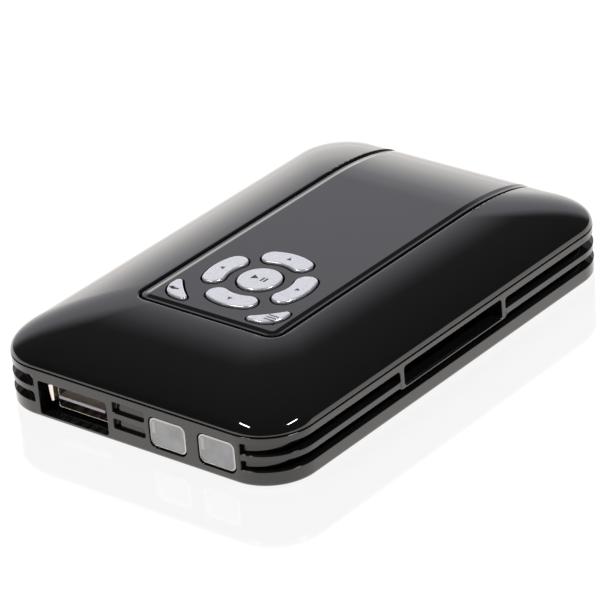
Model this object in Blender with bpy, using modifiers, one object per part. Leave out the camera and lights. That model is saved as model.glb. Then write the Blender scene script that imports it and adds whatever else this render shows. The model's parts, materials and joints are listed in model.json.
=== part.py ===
"""Palm-sized media player with a domed glossy shell, seven keys, a front USB port and a side card slot.

Metres, +Z up. X runs along the short front face, Y along the long side, and the front face looks to -Y.
The origin is on the floor, under the middle of the player. Seven keys travel straight down.
"""
import math

import bmesh
import bpy
from mathutils import Matrix, Vector

# Driving dimensions of the whole player
WIDTH = 0.0720
LENGTH = 0.1092
CORNER_RADIUS = 0.0106
FOOT_PROUD = 0.0005
CASE_HEIGHT = 0.0105
SEAM_GAP = 0.00035
LIP_HEIGHT = 0.00075
DOME_RISE = 0.0061

# Clearance between pieces that touch, and the overrun of every cut past the face that it opens
FIT_GAP = 0.0003
OVERRUN = 0.0020
WELD_DISTANCE = 0.000001

# Bottom case: floor, walls and the bands of its sides, from the underside up
CASE_FLOOR = 0.0010
CASE_WALL = 0.0012
CAVITY_CORNER_INSET = 0.0040
CASE_BOTTOM_ROUND = 0.0014
LOWER_BAND = 0.0033
LOWER_GROOVE = 0.0021
MIDDLE_RIB = 0.0013
UPPER_GROOVE = 0.0023
END_GROOVE_DEPTH = 0.0014
SIDE_GROOVE_DEPTH = 0.0030

# Top shell: wall, the strip that the panel fills, and the fullness of the dome's curve
SHELL_WALL = 0.0024
DOME_FULLNESS_SHARE = 1.62
DOME_LEVELS = 9
PLATEAU_RADIUS = 0.0060
DOME_BACK_RUN = 0.0216
PANEL_WIDTH = 0.0340
PANEL_FRONT_INSET = 0.0242
PANEL_CORNER = 0.0026
PANEL_THICKNESS = 0.0012
PANEL_TAIL = 0.00075
PANEL_GROOVE = 0.00045
PANEL_LEDGE = 0.0014

# Keypad: places are counted from its middle
KEYPAD_FROM_PANEL_FRONT = 0.0159
KEY_PROUD = 0.00045
KEY_TRAVEL = 0.0003
KEY_SIDE_GAP = 0.0003
KEY_FLANGE = 0.0007
KEY_FLANGE_THICKNESS = 0.0006
KEY_EDGE_ROUND = 0.0003
CENTER_KEY_RADIUS = 0.0045
ARC_KEY_INNER = 0.0071
ARC_KEY_OUTER = 0.0121
ARC_KEY_HALF_ANGLE = math.radians(37)
ARC_KEY_FILLET = 0.0023
CORNER_KEY_TOP_X = 0.0140
CORNER_KEY_TOP_Y = 0.0067
CORNER_KEY_OUTER_X = 0.0145
CORNER_KEY_LOW_Y = 0.0138
CORNER_KEY_TIP_X = 0.0062
CORNER_KEY_TOP_FILLET = 0.0009
CORNER_KEY_OUTER_FILLET = 0.0032
CORNER_KEY_TIP_FILLET = 0.0008

# Switches under the keys
SWITCH_SIZE = 0.0045
SWITCH_HEIGHT = 0.0022
SWITCH_FLOOR = 0.0004
PLUNGER_RADIUS = 0.0010
PLUNGER_SHOWN = 0.0009

# Circuit boards
BOARD_THICKNESS = 0.0012
KEY_BOARD_THICKNESS = 0.0010
KEY_BOARD_HALF_WIDTH = 0.0200
KEY_BOARD_HALF_LENGTH = 0.0165
KEY_BOARD_POST_INSET = 0.0020
KEY_BOARD_POST_RADIUS = 0.0015
KEY_BOARD_PIN_RADIUS = 0.0008
STANDOFF_HEIGHT = 0.0023
STANDOFF_RADIUS = 0.0024
STANDOFF_INSET_X = 0.0048
STANDOFF_INSET_Y = 0.0160
BOARD_SIDE_GAP = 0.0006
BOARD_END_GAP = 0.0014
BOARD_CORNER_NOTCH_X = 0.0079
BOARD_CORNER_NOTCH_Y = 0.0092
BOARD_SCREW_RADIUS = 0.0009
BOARD_SCREW_HEAD = 0.0018
BOARD_SCREW_HEAD_HEIGHT = 0.0010
BOARD_SCREW_REACH = 0.0014

# Case screws, driven from below into posts of the top shell
SCREW_INSET_X = 0.0045
SCREW_INSET_Y = 0.0064
SCREW_SHANK_RADIUS = 0.0012
SCREW_HEAD_RADIUS = 0.0022
SCREW_HEAD_HEIGHT = 0.0014
SCREW_WELL_DEPTH = 0.0025
SCREW_REACH = 0.0045
SCREW_PILOT_SPARE = 0.0005
CASE_POST_RADIUS = 0.0036
CASE_POST_HEIGHT = 0.0055
SHELL_POST_RADIUS = 0.0026
DRIVE_SLOT_LENGTH = 0.0026
DRIVE_SLOT_WIDTH = 0.0006
DRIVE_SLOT_DEPTH = 0.0007

# Feet, vents and the bare label recess of the underside
FOOT_RADIUS = 0.0040
FOOT_POCKET = 0.0005
FOOT_INSET_X = 0.0100
FOOT_INSET_Y = 0.0186
FOOT_EDGE_ROUND = 0.0002
VENT_COUNT = 6
VENT_PITCH = 0.0036
VENT_LENGTH = 0.0240
VENT_WIDTH = 0.0016
LABEL_LENGTH = 0.0300
LABEL_WIDTH = 0.0150
LABEL_DEPTH = 0.0002
LABEL_CORNER = 0.0010
LABEL_CENTRE_Y = 0.0260

# Front face, left to right: USB opening, two short recesses, two windows
FRONT_GROOVE_LEFT_INSET = 0.0114
FRONT_GROOVE_RIGHT_INSET = 0.0093
USB_OPENING_MARGIN = 0.0015
USB_OPENING_WIDTH = 0.01705
USB_OPENING_HEIGHT = 0.00715
USB_OPENING_SILL = 0.0011
USB_OPENING_CORNER = 0.0006
USB_MOUTH_WIDTH = 0.0125
USB_MOUTH_HEIGHT = 0.00512
USB_SHEET = 0.0003
USB_SHELL_LENGTH = 0.0140
USB_RECESS = 0.0006
USB_TONGUE_WIDTH = 0.0111
USB_TONGUE_THICKNESS = 0.00184
USB_TONGUE_RAISE = 0.00255
USB_TONGUE_INSET = 0.0015
USB_BLOCK_LENGTH = 0.0027
RECESS_SHARES = (0.0475, 0.2902)
WINDOW_CENTRE_SHARES = (0.4642, 0.8290)
WINDOW_WIDTH_SHARE = 0.2778
WINDOW_HEIGHT = 0.0064
WINDOW_RAISE = 0.00203
WINDOW_CORNER = 0.0016
WINDOW_GAP = 0.0003
WINDOW_PROUD = 0.0005
WINDOW_FLANGE = 0.0006
WINDOW_FLANGE_THICKNESS = 0.0007
WINDOW_FRONT_WALL = 0.0012
WINDOW_SIDE_WALL = 0.0011
WINDOW_EDGE_ROUND = 0.0003

# Right side: card slot and socket
SLOT_LENGTH = 0.0318
SLOT_HEIGHT = 0.0042
SLOT_RAISE = 0.0052
SLOT_CORNER = 0.0008
SLOT_FRAME = 0.0012
SLOT_FRAME_DROP = 0.0004
CAGE_DEPTH = 0.0280
CAGE_WIDTH = 0.0284
CAGE_HEIGHT = 0.0039
CAGE_SHEET = 0.0003
CARD_BASE_THICKNESS = 0.0007
CARD_BASE_SETBACK = 0.0020

# Back face, all of it out of the photo's sight: power jack, sound jack and video port between the posts
BACK_PORT_RAISE = 0.0055
BACK_GAP_SHARES = (0.19, 0.29, 0.28, 0.24)
VIDEO_WIDTH = 0.0150
VIDEO_HEIGHT = 0.0056
VIDEO_CHAMFER = 0.0018
VIDEO_SHEET = 0.0004
VIDEO_LENGTH = 0.0110
VIDEO_GAP = 0.0005
VIDEO_TONGUE_WIDTH = 0.0115
VIDEO_TONGUE_THICKNESS = 0.0012
VIDEO_TONGUE_RAISE = 0.0009
VIDEO_TONGUE_INSET = 0.0012
VIDEO_BLOCK_LENGTH = 0.0026
JACK_WIDTH = 0.0064
JACK_HEIGHT = 0.0060
JACK_LENGTH = 0.0120
JACK_NOSE_RADIUS = 0.0030
JACK_BORE_RADIUS = 0.0018
JACK_BORE_DEPTH = 0.0110
POWER_WIDTH = 0.0088
POWER_HEIGHT = 0.0070
POWER_LENGTH = 0.0110
POWER_BORE_RADIUS = 0.0029
POWER_BORE_DEPTH = 0.0090
POWER_PIN_RADIUS = 0.0009
POWER_HOLE_RADIUS = 0.0033

# Chips and other parts of the main board. Gap shares divide the free length between neighbours:
# left wall, heat sink, card cage; USB shell, memory, heat sink, flash chip, power jack;
# card cage, two capacitors, video port; card cage, inductor, video port
ACROSS_GAP_SHARES = (0.575, 0.425)
LEFT_COLUMN_GAP_SHARES = (0.69, 0.17, 0.04, 0.10)
CAPACITOR_GAP_SHARES = (0.39, 0.21, 0.40)
INDUCTOR_GAP_SHARES = (0.56, 0.44)
CRYSTAL_SHARE = -0.10
INDUCTOR_SHARE = 0.256
CAPACITOR_SHARE = 0.577
PROCESSOR_SIZE = 0.0140
PROCESSOR_HEIGHT = 0.0012
SINK_SIZE = 0.0200
SINK_HEIGHT = 0.0038
SINK_BASE = 0.0012
SINK_FINS = 7
SINK_FIN_THICKNESS = 0.0009
MEMORY_WIDTH = 0.0090
MEMORY_LENGTH = 0.0120
MEMORY_HEIGHT = 0.0011
MEMORY_PITCH = 0.0120
FLASH_WIDTH = 0.0120
FLASH_LENGTH = 0.0184
FLASH_HEIGHT = 0.0010
FLASH_SIDE_STEP = 0.0050
CRYSTAL_LENGTH = 0.0110
CRYSTAL_WIDTH = 0.0046
CRYSTAL_HEIGHT = 0.0035
INDUCTOR_SIZE = 0.0070
INDUCTOR_HEIGHT = 0.0032
INDUCTOR_CORNER = 0.0018
CAPACITOR_RADIUS = 0.0025
CAPACITOR_HEIGHT = 0.0054
CAPACITOR_CRIMP = 0.0003
CAPACITOR_CRIMP_HEIGHT = 0.0010
LINK_X = 0.0080
LINK_LENGTH = 0.0180
LINK_WIDTH = 0.0050
LINK_SOCKET_HEIGHT = 0.0031
LINK_BLADE_WIDTH = 0.0012
LINK_BLADE_REACH = 0.0020
LINK_END = 0.0012
RECEIVER_WIDTH = 0.0050
RECEIVER_LENGTH = 0.0030
RECEIVER_HEIGHT = 0.0052
RECEIVER_EYE_RADIUS = 0.0017
RECEIVER_POST_GAP = 0.0007
LIGHT_RADIUS = 0.0015
LIGHT_RIM = 0.0002
LIGHT_RIM_LENGTH = 0.0008
LIGHT_LENGTH = 0.0042
FRONT_PART_GAP = 0.0014

# Facets
CORNER_STEPS = 7
SMALL_STEPS = 4
ROUND_SEGMENTS = 24
FINE_SEGMENTS = 16

# Heights that follow from the sizes above
CASE_BOTTOM = FOOT_PROUD
FLOOR_TOP = CASE_BOTTOM + CASE_FLOOR
CASE_TOP = CASE_BOTTOM + CASE_HEIGHT
SHELL_BOTTOM = CASE_TOP + SEAM_GAP
DOME_START = SHELL_BOTTOM + LIP_HEIGHT
PANEL_TOP = DOME_START + DOME_RISE
PANEL_UNDERSIDE = PANEL_TOP - PANEL_THICKNESS
KEY_TOP = PANEL_TOP + KEY_PROUD
FLANGE_TOP = PANEL_UNDERSIDE - FIT_GAP
FLANGE_BOTTOM = FLANGE_TOP - KEY_FLANGE_THICKNESS
PLUNGER_TOP = FLANGE_BOTTOM - FIT_GAP
SWITCH_TOP = PLUNGER_TOP - PLUNGER_SHOWN
SWITCH_BOTTOM = SWITCH_TOP - SWITCH_HEIGHT
KEY_BOARD_TOP = SWITCH_BOTTOM - FIT_GAP
KEY_BOARD_BOTTOM = KEY_BOARD_TOP - KEY_BOARD_THICKNESS
LOWER_GROOVE_BOTTOM = CASE_BOTTOM + LOWER_BAND
LOWER_GROOVE_TOP = LOWER_GROOVE_BOTTOM + LOWER_GROOVE
UPPER_GROOVE_BOTTOM = LOWER_GROOVE_TOP + MIDDLE_RIB
UPPER_GROOVE_TOP = UPPER_GROOVE_BOTTOM + UPPER_GROOVE
STANDOFF_TOP = FLOOR_TOP + STANDOFF_HEIGHT
BOARD_BOTTOM = STANDOFF_TOP + FIT_GAP
BOARD_TOP = BOARD_BOTTOM + BOARD_THICKNESS
CHIP_BOTTOM = BOARD_TOP + FIT_GAP
PROCESSOR_TOP = CHIP_BOTTOM + PROCESSOR_HEIGHT
CASE_POST_TOP = FLOOR_TOP + CASE_POST_HEIGHT
SCREW_SEAT = CASE_BOTTOM + SCREW_WELL_DEPTH
BACK_PORT_Z = CASE_BOTTOM + BACK_PORT_RAISE

# Plan places that follow from the sizes above
HALF_WIDTH = WIDTH / 2
HALF_LENGTH = LENGTH / 2
CAVITY_HALF_WIDTH = HALF_WIDTH - SIDE_GROOVE_DEPTH - CASE_WALL
CAVITY_HALF_LENGTH = HALF_LENGTH - END_GROOVE_DEPTH - CASE_WALL
CAVITY_CORNER = CORNER_RADIUS - CAVITY_CORNER_INSET
PANEL_HALF_WIDTH = PANEL_WIDTH / 2
PANEL_FRONT = PANEL_FRONT_INSET - HALF_LENGTH
KEYPAD_Y = PANEL_FRONT + KEYPAD_FROM_PANEL_FRONT
ARC_KEY_MIDDLE = (ARC_KEY_INNER + ARC_KEY_OUTER) / 2
CORNER_KEY_SWITCH_X = (CORNER_KEY_TOP_X + CORNER_KEY_TIP_X) / 2 + CORNER_KEY_OUTER_FILLET / 2
CORNER_KEY_SWITCH_Y = (CORNER_KEY_TOP_Y + CORNER_KEY_LOW_Y) / 2
BOARD_HALF_WIDTH = CAVITY_HALF_WIDTH - BOARD_SIDE_GAP
BOARD_HALF_LENGTH = CAVITY_HALF_LENGTH - BOARD_END_GAP
SCREW_X = CAVITY_HALF_WIDTH - SCREW_INSET_X
SCREW_Y = CAVITY_HALF_LENGTH - SCREW_INSET_Y
STANDOFF_X = CAVITY_HALF_WIDTH - STANDOFF_INSET_X
STANDOFF_Y = CAVITY_HALF_LENGTH - STANDOFF_INSET_Y
FOOT_X = HALF_WIDTH - FOOT_INSET_X
FOOT_Y = HALF_LENGTH - FOOT_INSET_Y
KEY_POST_X = KEY_BOARD_HALF_WIDTH - KEY_BOARD_POST_INSET
KEY_POST_Y = KEY_BOARD_HALF_LENGTH - KEY_BOARD_POST_INSET
POST_INNER_X = SCREW_X - CASE_POST_RADIUS
CAGE_MOUTH_X = CAVITY_HALF_WIDTH - FIT_GAP
CAGE_BACK_X = CAGE_MOUTH_X - CAGE_DEPTH
FRONT_GROOVE_LEFT_X = FRONT_GROOVE_LEFT_INSET - HALF_WIDTH
FRONT_GROOVE_RIGHT_X = HALF_WIDTH - FRONT_GROOVE_RIGHT_INSET
USB_CENTRE_X = FRONT_GROOVE_LEFT_X + USB_OPENING_MARGIN + USB_OPENING_WIDTH / 2
USB_FRONT = USB_RECESS - HALF_LENGTH
USB_BACK = USB_FRONT + USB_SHELL_LENGTH
FRONT_BAY_LEFT = USB_CENTRE_X + USB_OPENING_WIDTH / 2
FRONT_BAY_LENGTH = FRONT_GROOVE_RIGHT_X - FRONT_BAY_LEFT
RECESS_LEFT_X = FRONT_BAY_LEFT + RECESS_SHARES[0] * FRONT_BAY_LENGTH
RECESS_RIGHT_X = FRONT_BAY_LEFT + RECESS_SHARES[1] * FRONT_BAY_LENGTH
WINDOW_WIDTH = WINDOW_WIDTH_SHARE * FRONT_BAY_LENGTH
WINDOW_XS = [FRONT_BAY_LEFT + share * FRONT_BAY_LENGTH for share in WINDOW_CENTRE_SHARES]
JACK_FRONT = CAVITY_HALF_LENGTH - FIT_GAP
VIDEO_FRONT = HALF_LENGTH - USB_RECESS
WINDOW_Z = CASE_BOTTOM + WINDOW_RAISE + WINDOW_HEIGHT / 2
SLOT_Z = CASE_BOTTOM + SLOT_RAISE + SLOT_HEIGHT / 2



def spread(start, end, lengths, shares):
    """The middles of pieces set in a row from start to end, the free length shared out between them."""
    free = end - start - sum(lengths)
    middles = []
    place = start
    for length, share in zip(lengths, shares):
        place += share * free
        middles.append(place + length / 2)
        place += length
    return middles


POWER_CENTRE_X, JACK_CENTRE_X, VIDEO_CENTRE_X = spread(
    -POST_INNER_X, POST_INNER_X, (POWER_WIDTH, JACK_WIDTH, VIDEO_WIDTH), BACK_GAP_SHARES
)
PROCESSOR_X = spread(-CAVITY_HALF_WIDTH, CAGE_BACK_X, (SINK_SIZE,), ACROSS_GAP_SHARES)[0]
MEMORY_Y, PROCESSOR_Y, FLASH_Y = spread(
    USB_BACK, JACK_FRONT - POWER_LENGTH, (MEMORY_LENGTH, SINK_SIZE, FLASH_LENGTH), LEFT_COLUMN_GAP_SHARES
)
CAPACITOR_YS = spread(
    CAGE_WIDTH / 2, VIDEO_FRONT - VIDEO_LENGTH, (2 * CAPACITOR_RADIUS, 2 * CAPACITOR_RADIUS), CAPACITOR_GAP_SHARES
)
INDUCTOR_Y = spread(CAGE_WIDTH / 2, VIDEO_FRONT - VIDEO_LENGTH, (INDUCTOR_SIZE,), INDUCTOR_GAP_SHARES)[0]
FLASH_X = PROCESSOR_X - FLASH_SIDE_STEP
CRYSTAL_X = CRYSTAL_SHARE * BOARD_HALF_WIDTH
CRYSTAL_Y = (PROCESSOR_Y + SINK_SIZE / 2 + JACK_FRONT - JACK_LENGTH) / 2
INDUCTOR_X = INDUCTOR_SHARE * BOARD_HALF_WIDTH
CAPACITOR_X = CAPACITOR_SHARE * BOARD_HALF_WIDTH
LINK_Y = (KEYPAD_Y - KEY_BOARD_HALF_LENGTH - CAGE_WIDTH / 2) / 2
RECEIVER_X = POST_INNER_X - RECEIVER_POST_GAP - RECEIVER_WIDTH / 2

CORNER_SIGNS = ((-1, -1), (1, -1), (-1, 1), (1, 1))
CORNER_NAMES = ("front_left", "front_right", "back_left", "back_right")


def clear_scene():
    for obj in list(bpy.data.objects):
        bpy.data.objects.remove(obj, do_unlink=True)


def new_collection(name):
    collection = bpy.data.collections.new(name)
    bpy.context.scene.collection.children.link(collection)
    return collection


clear_scene()
PLAYER = new_collection("media_player")
CUTTERS = new_collection("cutters")


def material(name, colour, roughness, metallic=0.0, alpha=1.0):
    """A Principled material, made once for each name."""
    found = bpy.data.materials.get(name)
    if found:
        return found
    made = bpy.data.materials.new(name)
    made.use_nodes = True
    shader = made.node_tree.nodes["Principled BSDF"]
    shader.inputs["Base Color"].default_value = (*colour, 1.0)
    shader.inputs["Roughness"].default_value = roughness
    shader.inputs["Metallic"].default_value = metallic
    shader.inputs["Alpha"].default_value = alpha
    made.diffuse_color = (*colour, alpha)
    return made


def gloss_black():
    return material("gloss_black_plastic", (0.012, 0.012, 0.013), 0.08)


def key_silver():
    return material("silver_key_paint", (0.52, 0.52, 0.54), 0.35, 0.6)


def board_green():
    return material("board_laminate", (0.02, 0.12, 0.05), 0.5)


def chip_black():
    return material("chip_epoxy", (0.02, 0.02, 0.022), 0.6)


def steel():
    return material("plated_steel", (0.56, 0.55, 0.53), 0.25, 1.0)


def aluminium():
    return material("finned_aluminium", (0.70, 0.71, 0.72), 0.35, 1.0)


def socket_plastic():
    return material("socket_plastic", (0.03, 0.03, 0.03), 0.5)


def tongue_plastic():
    return material("tongue_plastic", (0.72, 0.72, 0.74), 0.45)


def clear_plastic():
    return material("clear_plastic", (0.85, 0.87, 0.9), 0.1, 0.0, 0.5)


def foot_rubber():
    return material("foot_rubber", (0.03, 0.03, 0.03), 0.9)


def screw_steel():
    return material("blackened_screw", (0.10, 0.10, 0.11), 0.4, 1.0)


def place_in(obj, collection, finish=None):
    """Links an object to its collection. With no finish it is a cutter, which the render leaves out."""
    collection.objects.link(obj)
    if finish is None:
        obj.hide_render = True
        obj.display_type = "WIRE"
    else:
        obj.data.materials.clear()
        obj.data.materials.append(finish)
    return obj


def object_from(bm, name, finish):
    """Turns a bmesh into an object with its faces pointing out."""
    bmesh.ops.recalc_face_normals(bm, faces=bm.faces)
    mesh = bpy.data.meshes.new(name)
    bm.to_mesh(mesh)
    bm.free()
    obj = bpy.data.objects.new(name, mesh)
    return place_in(obj, PLAYER if finish else CUTTERS, finish)


def axis_frame(axis):
    """The turn that sends an outline's own x, y and thickness to the plane square to an axis."""
    if axis == "X":
        return Matrix(((0, 0, 1), (1, 0, 0), (0, 1, 0))).to_4x4()
    if axis == "Y":
        return Matrix(((1, 0, 0), (0, 0, -1), (0, 1, 0))).to_4x4()
    return Matrix.Identity(4)


def axis_vector(axis, distance):
    return Vector(tuple(distance if letter == axis else 0 for letter in "XYZ"))


def box(name, low, high, finish=None):
    """A block between two corners."""
    low = Vector(low)
    high = Vector(high)
    bm = bmesh.new()
    place = Matrix.Translation((low + high) / 2) @ Matrix.Diagonal((*(high - low), 1))
    bmesh.ops.create_cube(bm, size=1, matrix=place)
    return object_from(bm, name, finish)


def cylinder(name, radius, low, high, centre, axis="Z", segments=ROUND_SEGMENTS, finish=None):
    """A rod along an axis. The centre gives its place in the plane square to that axis."""
    bm = bmesh.new()
    lift = Matrix.Translation((centre[0], centre[1], (low + high) / 2))
    if axis == "Y":
        lift = Matrix.Translation((centre[0], centre[1], -(low + high) / 2))
    bmesh.ops.create_cone(
        bm,
        cap_ends=True,
        segments=segments,
        radius1=radius,
        radius2=radius,
        depth=high - low,
        matrix=axis_frame(axis) @ lift,
    )
    return object_from(bm, name, finish)


def lies_on(element, axis, place):
    """Whether every corner of a face or edge is in the plane at a place along an axis."""
    index = "XYZ".index(axis)
    return all(abs(vert.co[index] - place) < WELD_DISTANCE for vert in element.verts)


def plate(name, outlines, low, high, axis="Z", finish=None, rounded_end=None, round_width=0.0, segments=2):
    """A flat outline given a thickness along an axis. Inner outlines make holes.

    rounded_end names the end, low or high, whose outer edge gets a round.
    """
    curve = bpy.data.curves.new(name, "CURVE")
    curve.dimensions = "2D"
    curve.fill_mode = "BOTH"
    curve.extrude = (high - low) / 2
    for points in outlines:
        spline = curve.splines.new("POLY")
        spline.points.add(len(points) - 1)
        for point, (u, v) in zip(spline.points, points):
            point.co = (u, v, 0, 1)
        spline.use_cyclic_u = True
    guide = bpy.data.objects.new(name + "_outline", curve)
    bpy.context.scene.collection.objects.link(guide)
    guide.matrix_world = Matrix.Translation(axis_vector(axis, (low + high) / 2)) @ axis_frame(axis)
    bpy.context.view_layer.update()
    evaluated = guide.evaluated_get(bpy.context.evaluated_depsgraph_get())
    mesh = bpy.data.meshes.new_from_object(evaluated)
    bm = bmesh.new()
    bm.from_mesh(mesh)
    bmesh.ops.remove_doubles(bm, verts=bm.verts, dist=WELD_DISTANCE)
    bm.transform(guide.matrix_world)
    bpy.data.meshes.remove(mesh)
    bpy.data.objects.remove(guide, do_unlink=True)
    if len(outlines) == 1:
        for end in (low, high):
            cap = [face for face in bm.faces if lies_on(face, axis, end)]
            bmesh.ops.dissolve_faces(bm, faces=cap, use_verts=False)
    if rounded_end:
        place = high if rounded_end == "high" else low
        edges = [edge for edge in bm.edges if lies_on(edge, axis, place)]
        bmesh.ops.bevel(
            bm,
            geom=edges,
            offset=round_width,
            segments=segments,
            profile=0.5,
            affect="EDGES",
            clamp_overlap=True,
        )
    return object_from(bm, name, finish)


def turned(name, profile, centre, axis="Z", segments=ROUND_SEGMENTS, finish=None):
    """A profile of (radius, height) pairs, from top to bottom, turned round an axis through the centre."""
    mesh = bpy.data.meshes.new(name)
    rim = range(len(profile) - 1)
    mesh.from_pydata([(r, 0, h) for r, h in profile], [(i, i + 1) for i in rim], [])
    obj = bpy.data.objects.new(name, mesh)
    screw = obj.modifiers.new("turn", "SCREW")
    screw.angle = 2 * math.pi
    screw.steps = segments
    screw.render_steps = segments
    screw.use_merge_vertices = True
    screw.merge_threshold = WELD_DISTANCE
    obj.matrix_world = Matrix.Translation(centre) @ (axis_frame(axis) if axis != "Z" else Matrix.Identity(4))
    return place_in(obj, PLAYER if finish else CUTTERS, finish)


def combine(target, tool, operation):
    """Adds a Boolean modifier that joins, cuts or keeps the shared part."""
    modifier = target.modifiers.new(operation.lower() + "_" + tool.name, "BOOLEAN")
    modifier.operation = operation
    modifier.object = tool
    modifier.solver = "EXACT"


def cut(target, tool):
    combine(target, tool, "DIFFERENCE")


def join(target, tool):
    combine(target, tool, "UNION")


def arc(centre_u, centre_v, radius, start, end, steps):
    """Points along an arc, both ends included."""
    return [
        (
            centre_u + radius * math.cos(start + (end - start) * i / steps),
            centre_v + radius * math.sin(start + (end - start) * i / steps),
        )
        for i in range(steps + 1)
    ]


def rounded_rectangle(centre_u, centre_v, half_u, half_v, radius, steps=SMALL_STEPS, grow=0.0):
    """A rectangle with round corners. Growing it moves every side out by the same amount."""
    points = []
    for i, (sign_u, sign_v) in enumerate(((1, 1), (-1, 1), (-1, -1), (1, -1))):
        start = i * math.pi / 2
        corner_u = centre_u + sign_u * (half_u - radius)
        corner_v = centre_v + sign_v * (half_v - radius)
        points += arc(corner_u, corner_v, radius + grow, start, start + math.pi / 2, steps)
    return points


def filleted(corners, fillets, grow=0.0, steps=SMALL_STEPS):
    """A convex outline, counter-clockwise, with a fillet at each corner."""
    points = []
    for i, fillet in enumerate(fillets):
        before, here, after = (Vector(corners[(i + k) % len(corners)]) for k in (-1, 0, 1))
        back = (before - here).normalized()
        ahead = (after - here).normalized()
        half_angle = back.angle(ahead) / 2
        middle = here + (back + ahead).normalized() * fillet / math.sin(half_angle)
        into = math.atan2(-back.x, back.y)
        turn = math.pi - 2 * half_angle
        start = into + math.pi
        points += arc(middle.x, middle.y, fillet + grow, start, start + turn, steps)
    return points


def arc_key_outline(grow=0.0):
    """A ring sector with round ends, lying on +X of the keypad's middle."""
    outer_reach = ARC_KEY_OUTER - ARC_KEY_FILLET
    inner_reach = ARC_KEY_INNER + ARC_KEY_FILLET
    outer_angle = ARC_KEY_HALF_ANGLE - math.asin(ARC_KEY_FILLET / outer_reach)
    inner_angle = ARC_KEY_HALF_ANGLE - math.asin(ARC_KEY_FILLET / inner_reach)
    side = ARC_KEY_HALF_ANGLE + math.pi / 2
    round_radius = ARC_KEY_FILLET + grow
    outer_u = outer_reach * math.cos(outer_angle)
    outer_v = outer_reach * math.sin(outer_angle)
    inner_u = inner_reach * math.cos(inner_angle)
    inner_v = inner_reach * math.sin(inner_angle)
    points = arc(0, 0, ARC_KEY_OUTER + grow, -outer_angle, outer_angle, CORNER_STEPS)
    points += arc(outer_u, outer_v, round_radius, outer_angle, side, SMALL_STEPS)[1:]
    points += arc(inner_u, inner_v, round_radius, side, inner_angle + math.pi, SMALL_STEPS)[1:]
    points += arc(0, 0, ARC_KEY_INNER - grow, inner_angle, -inner_angle, SMALL_STEPS)[1:]
    points += arc(inner_u, -inner_v, round_radius, -inner_angle - math.pi, -side, SMALL_STEPS)[1:]
    points += arc(outer_u, -outer_v, round_radius, -side, -outer_angle, SMALL_STEPS)[1:-1]
    return points


def corner_key_outline(grow=0.0):
    """A rounded triangle at the keypad's +X front corner, its long side facing the middle."""
    corners = (
        (CORNER_KEY_TOP_X, -CORNER_KEY_TOP_Y),
        (CORNER_KEY_TIP_X, -CORNER_KEY_LOW_Y),
        (CORNER_KEY_OUTER_X, -CORNER_KEY_LOW_Y),
    )
    fillets = (CORNER_KEY_TOP_FILLET, CORNER_KEY_TIP_FILLET, CORNER_KEY_OUTER_FILLET)
    return filleted(corners, fillets, grow)


def center_key_outline(grow=0.0):
    return arc(0, 0, CENTER_KEY_RADIUS + grow, 0, 2 * math.pi, ROUND_SEGMENTS)[:-1]


def turn_points(points, angle):
    """Turns an outline about the keypad's middle."""
    cosine = math.cos(angle)
    sine = math.sin(angle)
    return [(u * cosine - v * sine, u * sine + v * cosine) for u, v in points]


def flip_points(points):
    """Mirrors an outline left to right, and keeps it counter-clockwise."""
    return [(-u, v) for u, v in reversed(points)]


def on_keypad(points):
    return [(u, v + KEYPAD_Y) for u, v in points]


def key_plans():
    """Name, outline function of a growth, and switch place of each key."""

    def arc_plan(angle):
        return lambda grow: turn_points(arc_key_outline(grow), angle)

    plans = [("center", center_key_outline, (0, 0))]
    for name, quarter in (("right", 0), ("back", 1), ("left", 2), ("front", 3)):
        angle = quarter * math.pi / 2
        plans.append((name, arc_plan(angle), turn_points([(ARC_KEY_MIDDLE, 0)], angle)[0]))
    plans.append(("corner_right", corner_key_outline, (CORNER_KEY_SWITCH_X, -CORNER_KEY_SWITCH_Y)))
    plans.append(
        (
            "corner_left",
            lambda grow: flip_points(corner_key_outline(grow)),
            (-CORNER_KEY_SWITCH_X, -CORNER_KEY_SWITCH_Y),
        )
    )
    return plans


def dome_solid(name, inset, bottom, finish=None):
    """The pillow-shaped outer form, drawn in all round by an inset, as one closed solid.

    It is a loft: each level lies between the player's outline and the outline of the flat top,
    and the levels follow a superellipse from the upright lip to the flat.
    """
    outer = rounded_rectangle(
        0, 0, HALF_WIDTH - inset, HALF_LENGTH - inset, CORNER_RADIUS - inset, CORNER_STEPS
    )
    flat_back = HALF_LENGTH - DOME_BACK_RUN
    flat_middle = (flat_back + PANEL_FRONT) / 2
    flat_half = (flat_back - PANEL_FRONT) / 2
    flat = rounded_rectangle(
        0, flat_middle, PANEL_HALF_WIDTH, flat_half, PLATEAU_RADIUS, CORNER_STEPS
    )
    rise = DOME_RISE - inset
    levels = [(1.0, bottom)]
    for i in range(DOME_LEVELS + 1):
        angle = i / DOME_LEVELS * math.pi / 2
        reach = max(math.cos(angle), 0.0) ** (2 / DOME_FULLNESS_SHARE)
        height = math.sin(angle) ** (2 / DOME_FULLNESS_SHARE)
        levels.append((reach, DOME_START + rise * height))
    bm = bmesh.new()
    rings = []
    for reach, height in levels:
        ring = [
            bm.verts.new((fu + (ou - fu) * reach, fv + (ov - fv) * reach, height))
            for (ou, ov), (fu, fv) in zip(outer, flat)
        ]
        rings.append(ring)
    count = len(outer)
    for lower, upper in zip(rings, rings[1:]):
        for i in range(count):
            k = (i + 1) % count
            bm.faces.new((lower[i], lower[k], upper[k], upper[i]))
    bm.faces.new(rings[0][::-1])
    bm.faces.new(rings[-1])
    obj = object_from(bm, name, finish)
    obj.data.shade_smooth()
    obj.data.set_sharp_from_angle(angle=math.radians(30))
    return obj


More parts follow.
